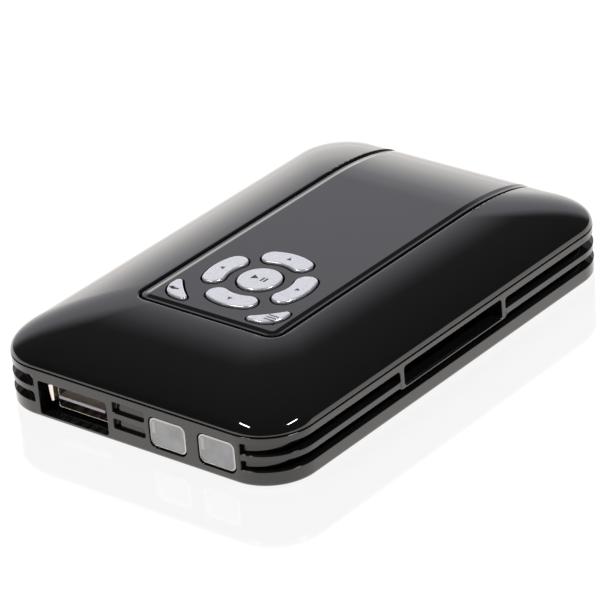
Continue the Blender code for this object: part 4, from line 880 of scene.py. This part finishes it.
def triangle(centre, size, angle):
    """A triangle that points along an angle."""
    points = [(size * 0.6, 0), (-size * 0.4, size * 0.55), (-size * 0.4, -size * 0.55)]
    return [(u + centre[0], v + centre[1]) for u, v in turn_points(points, angle)]


def mark_outlines(name):
    """Plain marks: play and pause, four arrows, a list and a return arrow, in millimetres."""
    middle = (ARC_INNER + ARC_OUTER) / 2
    marks = {
        "center": [triangle((-1.2, 0), PLAY_SIZE, 0), bar((0.7, 0), PAUSE_BAR), bar((1.5, 0), PAUSE_BAR)],
        "right": [triangle((middle, 0), ARROW_SIZE, 0)],
        "left": [triangle((-middle, 0), ARROW_SIZE, math.pi)],
        "back": [triangle((0, middle), ARROW_SIZE, math.pi / 2)],
        "front": [triangle((0, -middle), ARROW_SIZE, -math.pi / 2)],
        "corner_right": [bar((12.2, y), LIST_BAR) for y in (-12.4, -11.6, -10.8)],
        "corner_left": [triangle((-13.0, -11.4), RETURN_ARROW, math.pi), bar((-11.9, -11.4), RETURN_BAR)],
    }
    return [on_keypad(points) for points in marks[name]]


class PLAYER_OT_bottom_case(bpy.types.Operator):
    """Makes the louvred bottom case with its openings"""

    bl_idname = "player.bottom_case"
    bl_label = "Bottom case"

    def execute(self, context):
        low = (-HALF_WIDTH, -HALF_LENGTH, CASE_LOW)
        high = (HALF_WIDTH, HALF_LENGTH, CASE_TOP)
        case = rounded_block("bottom_case_skin", low, high, CORNER, segments=CORNER_SEGMENTS)
        foot = (CASE_LOW + CLOSE) * MM
        round_edges(case, lambda edge: all(vert.co.z < foot for vert in edge.verts), CASE_ROUND * MM, 8)
        low = (-CAVITY_X, -CAVITY_Y, FLOOR_TOP)
        high = (CAVITY_X, CAVITY_Y, CASE_TOP + PAST)
        boolean(case, rounded_block("cavity", low, high, CAVITY_CORNER, segments=12))
        for name, low, high in GROOVES:
            boolean(case, groove(name, low, high))
            boolean(case, short_recess(low, high))
        for tool in port_tools() + underside_tools():
            boolean(case, tool)
        soften(case, sizes().edge_round, 3)
        hand_over(smooth(case), ROOT, "gloss_black_plastic", gloss_abs(), "bottom_case")
        return {"FINISHED"}


def groove(name, low, high):
    """One louvre groove: a ring round the case, stopped at the ports and the card slot."""
    far_x, far_y = GROOVE_RING
    ring = block("groove_" + name, (-far_x, -far_y, low), (far_x, far_y, high))
    corners = ((-GROOVE_X, -GROOVE_Y, low - 1), (GROOVE_X, GROOVE_Y, low))
    core = rounded_block("core", *corners, GROOVE_CORNER, segments=CORNER_SEGMENTS)
    # The inner wall leans back, so that its foot stands out a little further than its top
    rise = high - low + 1
    pick(core, "faces", lambda face: face.normal.z > FACING)
    inset(GROOVE_DRAFT * rise, rise)
    leave()
    boolean(ring, core)
    round_edges(ring, lambda edge: is_groove_foot(edge, low), GROOVE_FILLET * MM, 4)
    stop_low = SLOT_FRAME_LOW if name == "lower" else low - 1
    near_x = GROOVE_X - PAST
    near_y = GROOVE_Y - PAST
    far_x += PAST
    far_y += PAST
    left, right = FRONT_GROOVE
    boolean(ring, block("stop", (left, -far_y, low - 1), (right, -near_y, high + 1)))
    boolean(ring, block("stop", (-BACK_GROOVE, near_y, low - 1), (BACK_GROOVE, far_y, high + 1)))
    boolean(ring, block("stop", (near_x, -SLOT_FRAME_Y, stop_low), (far_x, SLOT_FRAME_Y, high + 1)))
    round_edges(ring, is_groove_end, GROOVE_END_ROUND * MM, 6)
    return round_edges(ring, is_frame_end, FRAME_ROUND * MM, 6)


def short_recess(low, high):
    """Blind recess between the port and the windows, its back wall leaning like the grooves'."""
    left, right = RECESS
    corners = ((left, -HALF_LENGTH - PAST, low), (right, -GROOVE_Y, high))
    recess = rounded_block("recess", *corners, RECESS_ROUND, "Y", 6)
    back = (-GROOVE_Y - CLOSE) * MM
    for row in sorted({round(vert.co.z, 6) for vert in recess.data.vertices}):
        pick(recess, "verts", lambda vert: vert.co.y > back and round(vert.co.z, 6) == row)
        bpy.ops.transform.translate(value=(0, (row - low * MM) * GROOVE_DRAFT, 0))
        leave()
    return recess


def is_groove_foot(edge, low):
    """Lower inner edge of a groove cutter."""
    if any(abs(vert.co.z - low * MM) > CLOSE * MM for vert in edge.verts):
        return False
    middle = (edge.verts[0].co + edge.verts[1].co) / 2 / MM
    return abs(middle.x) < GROOVE_X + 1 and abs(middle.y) < GROOVE_Y + 1


def is_frame_end(edge):
    """Long edges of the groove cutter's ends beside the card slot's frame."""
    a, b = (vert.co / MM for vert in edge.verts)
    flat = abs(a.y - b.y) < CLOSE and abs(a.z - b.z) < CLOSE and abs(a.x - b.x) > 1
    return flat and a.x > 0 and abs(abs(a.y) - SLOT_FRAME_Y) < CLOSE


def is_groove_end(edge):
    """Long edges of a groove cutter's ends, at the front ports and at the back."""
    a, b = (vert.co / MM for vert in edge.verts)
    if abs(a.x - b.x) > CLOSE or abs(a.z - b.z) > CLOSE or abs(a.y - b.y) < 1:
        return False
    stops = FRONT_GROOVE if a.y < 0 else (-BACK_GROOVE, BACK_GROOVE)
    return any(abs(a.x - stop) < CLOSE for stop in stops)


def port_tools():
    """Cutters for the openings in the walls."""
    front = (-HALF_LENGTH - PAST, -CAVITY_Y + PAST)
    back = (CAVITY_Y - PAST, HALF_LENGTH + PAST)
    half, low, high = USB_OPENING
    opening = ((USB_X - half, front[0], low), (USB_X + half, front[1], high))
    tools = [rounded_block("usb_opening", *opening, USB_OPENING_CORNER, "Y")]
    half, low, high = SLOT
    slot = ((CAVITY_X - 1, -half, low), (HALF_WIDTH + PAST, half, high))
    tools.append(rounded_block("card_slot", *slot, SLOT_CORNER, "X"))
    half = WINDOW_HALF + WINDOW_GAP
    for x in WINDOW_XS:
        low_corner = (x - half, front[0], WINDOW_LOW - WINDOW_GAP)
        high_corner = (x + half, front[1], WINDOW_HIGH + WINDOW_GAP)
        corner = WINDOW_CORNER + WINDOW_GAP
        tools.append(rounded_block("window_opening", low_corner, high_corner, corner, "Y"))
    tools.append(outline_solid("video_opening", [video_outline()], *back, "Y"))
    for node in ("av_jack", "power_jack"):
        x, _ = middle_of(node)
        tools.append(rod(node + "_opening", JACK_HOLE, *back, (x, JACK_HEIGHT), "Y"))
    return tools


def box_of(node):
    """Two opposite corners of a solid's box, in millimetres."""
    return [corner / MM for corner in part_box(node)]


def middle_of(node):
    """Where a solid stands, in millimetres, seen from above."""
    low, high = box_of(node)
    return (low.x + high.x) / 2, (low.y + high.y) / 2


def video_outline():
    """The video socket's outline with a gap all round: the two lower corners are cut off."""
    low, high = box_of("video_shell")
    left = low.x - VIDEO_GAP
    right = high.x + VIDEO_GAP
    bottom = low.z - VIDEO_GAP
    top = high.z + VIDEO_GAP
    waist = bottom + VIDEO_CUT
    lower = ((left, waist), (left + VIDEO_CUT, bottom), (right - VIDEO_CUT, bottom))
    return [(right, waist), (right, top), (left, top), *lower]


def underside_tools():
    """Cutters for foot pockets, screw wells, vents and the bare label recess."""
    tools = []
    low = CASE_LOW - 1
    for prefix, (radius, top) in (("case_screw_", SCREW_WELL), ("foot_", FOOT_WELL)):
        for node in sorted(NODES):
            if node.startswith(prefix):
                tools.append(rod(node + "_well", radius, low, top, middle_of(node)))
    half_x, half_y = VENT_HALF
    for y in VENT_YS:
        vent = ((-half_x, y - half_y, low), (half_x, y + half_y, FLOOR_TOP + 1))
        tools.append(rounded_block("vent", *vent, VENT_ROUND))
    half, front, back, depth, corner = LABEL
    tools.append(rounded_block("label", (-half, front, low), (half, back, CASE_LOW + depth), corner))
    return tools


class PLAYER_OT_windows(bpy.types.Operator):
    """Makes the two windows and the end of the light guide in each"""

    bl_idname = "player.windows"
    bl_label = "Windows"

    def execute(self, context):
        for name, x in zip(("left", "right"), WINDOW_XS):
            _, high = box_of("window_" + name)
            low = (x - WINDOW_HALF + WINDOW_LEFT_GAP, WINDOW_FRONT, WINDOW_LOW + WINDOW_FOOT_GAP)
            high = (x + WINDOW_HALF, high.y, WINDOW_HIGH)
            window = rounded_block("window_cap_" + name, low, high, WINDOW_CORNER, "Y", 10)
            pick(window, "faces", lambda face: face.normal.y < -FACING)
            # A narrow lip all round, then a wide slanting rim whose inner edge sits toward the lower left
            inset(WINDOW_LIP)
            inset((WINDOW_RIM_WIDE + WINDOW_RIM_NARROW) / 2, -WINDOW_SUNK)
            shift = (WINDOW_RIM_WIDE - WINDOW_RIM_NARROW) / 2 * MM
            bpy.ops.transform.translate(value=(-shift, 0, -shift))
            leave()
            hand_over(smooth(window), ROOT, "clear_plastic", milky_acrylic(), "window_" + name)
            # The sunk slanting rim, widest at the top and right, is painted almost white: a painted highlight
            sunk = (WINDOW_FRONT + WINDOW_SUNK - CLOSE / 10) * MM
            repaint(window, lit_edge(), lambda face: face.calc_center_median().y < sunk)
            # A narrow upright block at the upper left of each window, painted paler: a painted highlight on
            # the light guide's end
            left, right, foot, top = GUIDE
            guide = block(
                "window_guide_" + name,
                (x + left, WINDOW_FRONT + WINDOW_SUNK - GUIDE_PROUD, foot),
                (x + right, WINDOW_FRONT + GUIDE_DEPTH, top),
            )
            soften(guide, GUIDE_ROUND * MM)
            hand_over(smooth(guide), ROOT, "clear_plastic", guide_painted_highlight())
        return {"FINISHED"}


class PLAYER_OT_usb_port(bpy.types.Operator):
    """Makes the port's folded steel shell with its flared tab, the tongue and its contacts"""

    bl_idname = "player.usb_port"
    bl_label = "Port"

    def execute(self, context):
        low, high = box_of("usb_shell")
        shell = rounded_block("usb_shell_folded", (low.x, USB_MOUTH, USB_LOW), high, USB_CORNER, "Y", 5)
        inner_low = (low.x + USB_SHEET, USB_MOUTH - 1, USB_LOW + USB_SHEET)
        inner_high = (high.x - USB_SHEET, high.y - PAST, high.z - USB_SHEET)
        boolean(shell, rounded_block("bore", inner_low, inner_high, USB_BORE_CORNER, "Y", 4))
        boolean(shell, self.flare(low.x), "UNION")
        soften(shell, SHEET_ROUND * MM)
        hand_over(smooth(shell), ROOT, "plated_steel", plain("nickel_plated_steel"), "usb_shell")

        low, high = box_of("usb_tongue")
        left = low.x + TONGUE_LEFT
        right = high.x + TONGUE_RIGHT
        back = high.y - TONGUE_ROOT
        tongue = block("usb_tongue_carrier", (left, low.y, TONGUE_LOW), (right, back + 0.5, TONGUE_HIGH))
        boolean(tongue, block("root", (low.x, back, low.z + 0.2), high), "UNION")
        soften(tongue, SHEET_ROUND * MM)
        hand_over(smooth(tongue), ROOT, "tongue_plastic", plain("nylon_moulded_pale"), "usb_tongue")
        # The tongue's top faces get a paler nylon: painted light, as if light fell in through the opening
        # onto them
        top = (TONGUE_HIGH - 2 * CLOSE) * MM
        repaint(
            tongue,
            plain("nylon_moulded_white"),
            lambda face: face.normal.z > FACING and face.calc_center_median().z > top,
        )
        for number, place in enumerate(CONTACT_XS, 1):
            x = (left + right) / 2 + place
            contact = block(
                "usb_contact_%d" % number,
                (x - CONTACT_HALF, low.y + CONTACT_SET_BACK, TONGUE_LOW - CONTACT_THICK),
                (x + CONTACT_HALF, back, TONGUE_LOW),
            )
            soften(contact, CONTACT_ROUND * MM)
            hand_over(smooth(contact), ROOT, "plated_steel", plain("gold_plated_contact"))
        return {"FINISHED"}

    def flare(self, x):
        """Left tab of the shell's mouth: the sheet runs on and bends outward, less at its foot."""
        tab = block("flare", (x, TAB_BEND, TAB_LOW), (x + USB_SHEET, USB_MOUTH + 0.1, TAB_HIGH))
        pick(tab, "faces", lambda face: face.normal.y < -FACING)
        bend = TAB_FLARE * MM
        bpy.ops.mesh.extrude_region_move(TRANSFORM_OT_translate={"value": (-bend, -bend, 0)})
        front = (TAB_BEND - 0.1) * MM
        foot = (TAB_LOW + 0.1) * MM
        pick(tab, "verts", lambda vert: vert.co.y < front and vert.co.z < foot)
        bpy.ops.transform.translate(value=(bend * TAB_SLACK, bend * TAB_SLACK, 0))
        leave()
        return tab


class PLAYER_OT_finishes(bpy.types.Operator):
    """Gives the other solids their finishes"""

    bl_idname = "player.finishes"
    bl_label = "Other finishes"

    def execute(self, context):
        finishes = {
            "gloss_black_plastic": gloss_abs(),
            "silver_key_paint": silver_paint(),
            "board_laminate": board_mask(),
            "chip_epoxy": plain("epoxy_moulded"),
            "plated_steel": plain("nickel_plated_steel"),
            "tongue_plastic": plain("nylon_moulded_pale"),
            "socket_plastic": plain("nylon_moulded_black"),
            "finned_aluminium": plain("aluminium_extruded"),
            "clear_plastic": clear_window(),
            "foot_rubber": plain("rubber_moulded"),
            "blackened_screw": plain("steel_blackened"),
        }
        for part in frame["record"]["subparts"]:
            dress(NODES[part["node"]], finishes[part["material_slot"]])
        return {"FINISHED"}


# Studio. The camera is fitted to the photograph by the port, the slot and the outline

CAMERA_AZIMUTH = 40.609
CAMERA_ELEVATION = 27.607
CAMERA_ROLL = 4.933
CAMERA_PLACE = (454.42, -532.50, 373.64)
CAMERA_LENS = 238.92
CAMERA_CLIP = 0.01

# Backdrop: its middle, seen from the part, and its brightness at each angle from there
BACKDROP_AZIMUTH = 1.0
BACKDROP_ELEVATION = 4.0
BACKDROP_WIDTH = 1.25
BACKDROP_STRENGTH = 2.05
BACKDROP_ANGLES = (7.5, 10, 13, 15.3, 18, 20, 22.5, 26, 27.3, 29, 31, 33, 35, 37)
BACKDROP_TONES = (0.98, 0.87, 0.735, 0.61, 0.54, 0.487, 0.452, 0.425, 0.4, 0.31, 0.225, 0.135, 0.075, 0.035)
BACKDROP_WARM = (1.015, 0.995, 0.975)
BACKDROP_COOL = (0.98, 0.96, 1.05)
# Where the warm tone starts to turn cool, and over how many degrees
BACKDROP_COOLS = (8, 12)
ROOM = 0.01
FLOOR_SIZE = 12
FLOOR_STRENGTH = 0.96
GLOW_SIZE = 3.0
GLOW_STRENGTH = 1.7
GLOW_LIFT = 0.00005
GLOW_TONE = (1.03, 0.99, 0.96, 1.0)

# Name, azimuth from the view's direction, elevation, distance, width, height, power, seen in the gloss
LAMPS = (
    ("front_lamp", -112, 56, 1.5, 0.46, 0.075, 11.0, True),
    ("right_lamp", 121, 54, 1.5, 0.46, 0.075, 11.0, True),
    ("top_softbox", 0, 80, 1.6, 1.6, 1.6, 9.0, False),
)


def heading(azimuth, elevation):
    """A direction: azimuth in degrees to the right of the way that the camera looks."""
    turn = math.radians(CAMERA_AZIMUTH - azimuth)
    rise = math.radians(elevation)
    return Vector((-math.sin(turn) * math.cos(rise), math.cos(turn) * math.cos(rise), math.sin(rise)))


def camera_turn():
    """The camera looks down at the part, turned a little about its own line of sight."""
    forward = heading(0, -CAMERA_ELEVATION)
    right = heading(90, 0)
    up = right.cross(forward)
    roll = math.radians(CAMERA_ROLL)
    turned_right = right * math.cos(roll) - up * math.sin(roll)
    turned_up = right * math.sin(roll) + up * math.cos(roll)
    return Matrix((turned_right, turned_up, -forward)).transposed()


class PLAYER_OT_stage(bpy.types.Operator):
    """Sets the pale floor, the soft lights, the world and the camera"""

    bl_idname = "player.stage"
    bl_label = "Stage"

    def execute(self, context):
        scene = context.scene
        scene.view_settings.view_transform = "Standard"
        self.sheet("studio_floor", FLOOR_SIZE, self.lit_floor())
        glow = self.sheet("floor_glow", GLOW_SIZE, self.glow_light())
        glow.location.z = GLOW_LIFT
        for kind in ("camera", "diffuse", "transmission", "shadow"):
            setattr(glow, "visible_" + kind, False)

        data = bpy.data.cameras.new("camera")
        data.lens = CAMERA_LENS
        data.clip_start = CAMERA_CLIP
        camera = bpy.data.objects.new("camera", data)
        scene.collection.objects.link(camera)
        camera.matrix_world = Matrix.Translation(Vector(CAMERA_PLACE) * MM) @ camera_turn().to_4x4()
        scene.camera = camera

        for name, azimuth, elevation, distance, width, height, power, shown in LAMPS:
            lamp = bpy.data.lights.new(name, "AREA")
            lamp.shape = "RECTANGLE"
            lamp.size = width
            lamp.size_y = height
            lamp.energy = power
            obj = bpy.data.objects.new(name, lamp)
            scene.collection.objects.link(obj)
            obj.location = heading(azimuth, elevation) * distance
            obj.rotation_euler = (-obj.location).to_track_quat("-Z", "Y").to_euler()
            obj.visible_glossy = shown
        self.surroundings(scene)
        return {"FINISHED"}

    def sheet(self, name, size, material):
        """A level sheet of the stage."""
        nothing_selected()
        bpy.ops.mesh.primitive_plane_add(size=size, location=(0, 0, 0))
        made = dress(settle(name), material)
        return made

    def lit_floor(self):
        """White acrylic sheet of a light table: even, shadowless, with a faint mirror skin."""
        made, shader = principled("acrylic_light_table", srgb("404040"), 0.08, IOR=1.9)
        shader.inputs["Emission Color"].default_value = colours().floor
        shader.inputs["Emission Strength"].default_value = FLOOR_STRENGTH
        return made

    def glow_light(self):
        """Light from the table, clear from below, so that the floor still mirrors the player."""
        made, shader = principled("light_table_glow", (0, 0, 0, 1), 0.5, Specular_IOR_Level=0)
        shader.inputs["Emission Color"].default_value = GLOW_TONE
        shader.inputs["Emission Strength"].default_value = GLOW_STRENGTH
        side = add_node(made, "ShaderNodeNewGeometry")
        clear = add_node(made, "ShaderNodeBsdfTransparent")
        links = {0: (side, "Backfacing"), 1: (shader, "BSDF"), 2: (clear, "BSDF")}
        both = add_node(made, "ShaderNodeMixShader", links)
        output = made.node_tree.nodes["Material Output"]
        made.node_tree.links.new(both.outputs["Shader"], output.inputs["Surface"])
        return made

    def surroundings(self, scene):
        """A bright backdrop behind the part, fading outward, in a dark room."""
        world = bpy.data.worlds.new("studio")
        world.use_nodes = True
        scene.world = world
        world.node_tree.nodes.clear()
        here = (add_node(world, "ShaderNodeTexCoord"), "Generated")
        right = heading(90, 0) / BACKDROP_WIDTH
        across = add_node(world, "ShaderNodeVectorMath", {0: here, 1: right}, operation="DOT_PRODUCT")
        ahead = heading(BACKDROP_AZIMUTH, 0)
        forward = add_node(world, "ShaderNodeVectorMath", {0: here, 1: ahead}, operation="DOT_PRODUCT")
        parts = add_node(world, "ShaderNodeSeparateXYZ", {"Vector": here})
        level = math.sin(math.radians(BACKDROP_ELEVATION))
        height = add_node(world, "ShaderNodeMath", {0: (parts, "Z"), 1: level}, operation="SUBTRACT")
        behind = add_node(world, "ShaderNodeMath", {0: (forward, "Value"), 1: 0.0}, operation="LESS_THAN")
        links = {"X": (across, "Value"), "Y": (height, "Value"), "Z": (behind, "Value")}
        offset = add_node(world, "ShaderNodeCombineXYZ", links)
        reach = add_node(world, "ShaderNodeVectorMath", {0: (offset, "Vector")}, operation="LENGTH")
        tone = add_node(world, "ShaderNodeValToRGB", {"Fac": (reach, "Value")})
        ramp = tone.color_ramp
        ramp.elements[0].color = (*BACKDROP_WARM, 1)
        ramp.elements[1].color = (ROOM, ROOM, ROOM, 1)
        for angle, value in zip(BACKDROP_ANGLES, BACKDROP_TONES):
            stop = ramp.elements.new(math.sin(math.radians(angle)))
            share = min(max((angle - BACKDROP_COOLS[0]) / BACKDROP_COOLS[1], 0), 1)
            tint = Vector(BACKDROP_WARM).lerp(Vector(BACKDROP_COOL), share)
            stop.color = (*(value * tint), 1)
        back = add_node(world, "ShaderNodeBackground", {"Color": (tone, "Color")}, Strength=BACKDROP_STRENGTH)
        add_node(world, "ShaderNodeOutputWorld", {"Surface": (back, "Background")})


class PLAYER_PT_pieces(bpy.types.Panel):
    """Lists the player's sizes, colours and pieces"""

    bl_idname = "PLAYER_PT_pieces"
    bl_label = "Media player"
    bl_space_type = "VIEW_3D"
    bl_region_type = "UI"
    bl_category = "Player"

    def draw(self, context):
        layout = self.layout
        for group in (context.scene.player_sizes, context.scene.player_colours):
            for key in group.bl_rna.properties.keys():
                if key not in {"rna_type", "name"}:
                    layout.prop(group, key)
        for operator in OPERATORS:
            layout.operator(operator.bl_idname)


OPERATORS = (
    PLAYER_OT_finishes,
    PLAYER_OT_top_shell,
    PLAYER_OT_control_panel,
    PLAYER_OT_keys,
    PLAYER_OT_bottom_case,
    PLAYER_OT_windows,
    PLAYER_OT_usb_port,
    PLAYER_OT_stage,
)
CLASSES = (PlayerSizes, PlayerColours, *OPERATORS, PLAYER_PT_pieces)


def register():
    for item in CLASSES:
        bpy.utils.register_class(item)
    bpy.types.Scene.player_sizes = PointerProperty(type=PlayerSizes)
    bpy.types.Scene.player_colours = PointerProperty(type=PlayerColours)


def unregister():
    del bpy.types.Scene.player_colours
    del bpy.types.Scene.player_sizes
    for item in reversed(CLASSES):
        bpy.utils.unregister_class(item)


def main():
    register()
    bpy.ops.player.finishes()
    bpy.ops.player.top_shell()
    bpy.ops.player.control_panel()
    bpy.ops.player.keys()
    bpy.ops.player.bottom_case()
    bpy.ops.player.windows()
    bpy.ops.player.usb_port()
    bpy.ops.player.stage()


if __name__ == "__main__":
    main()
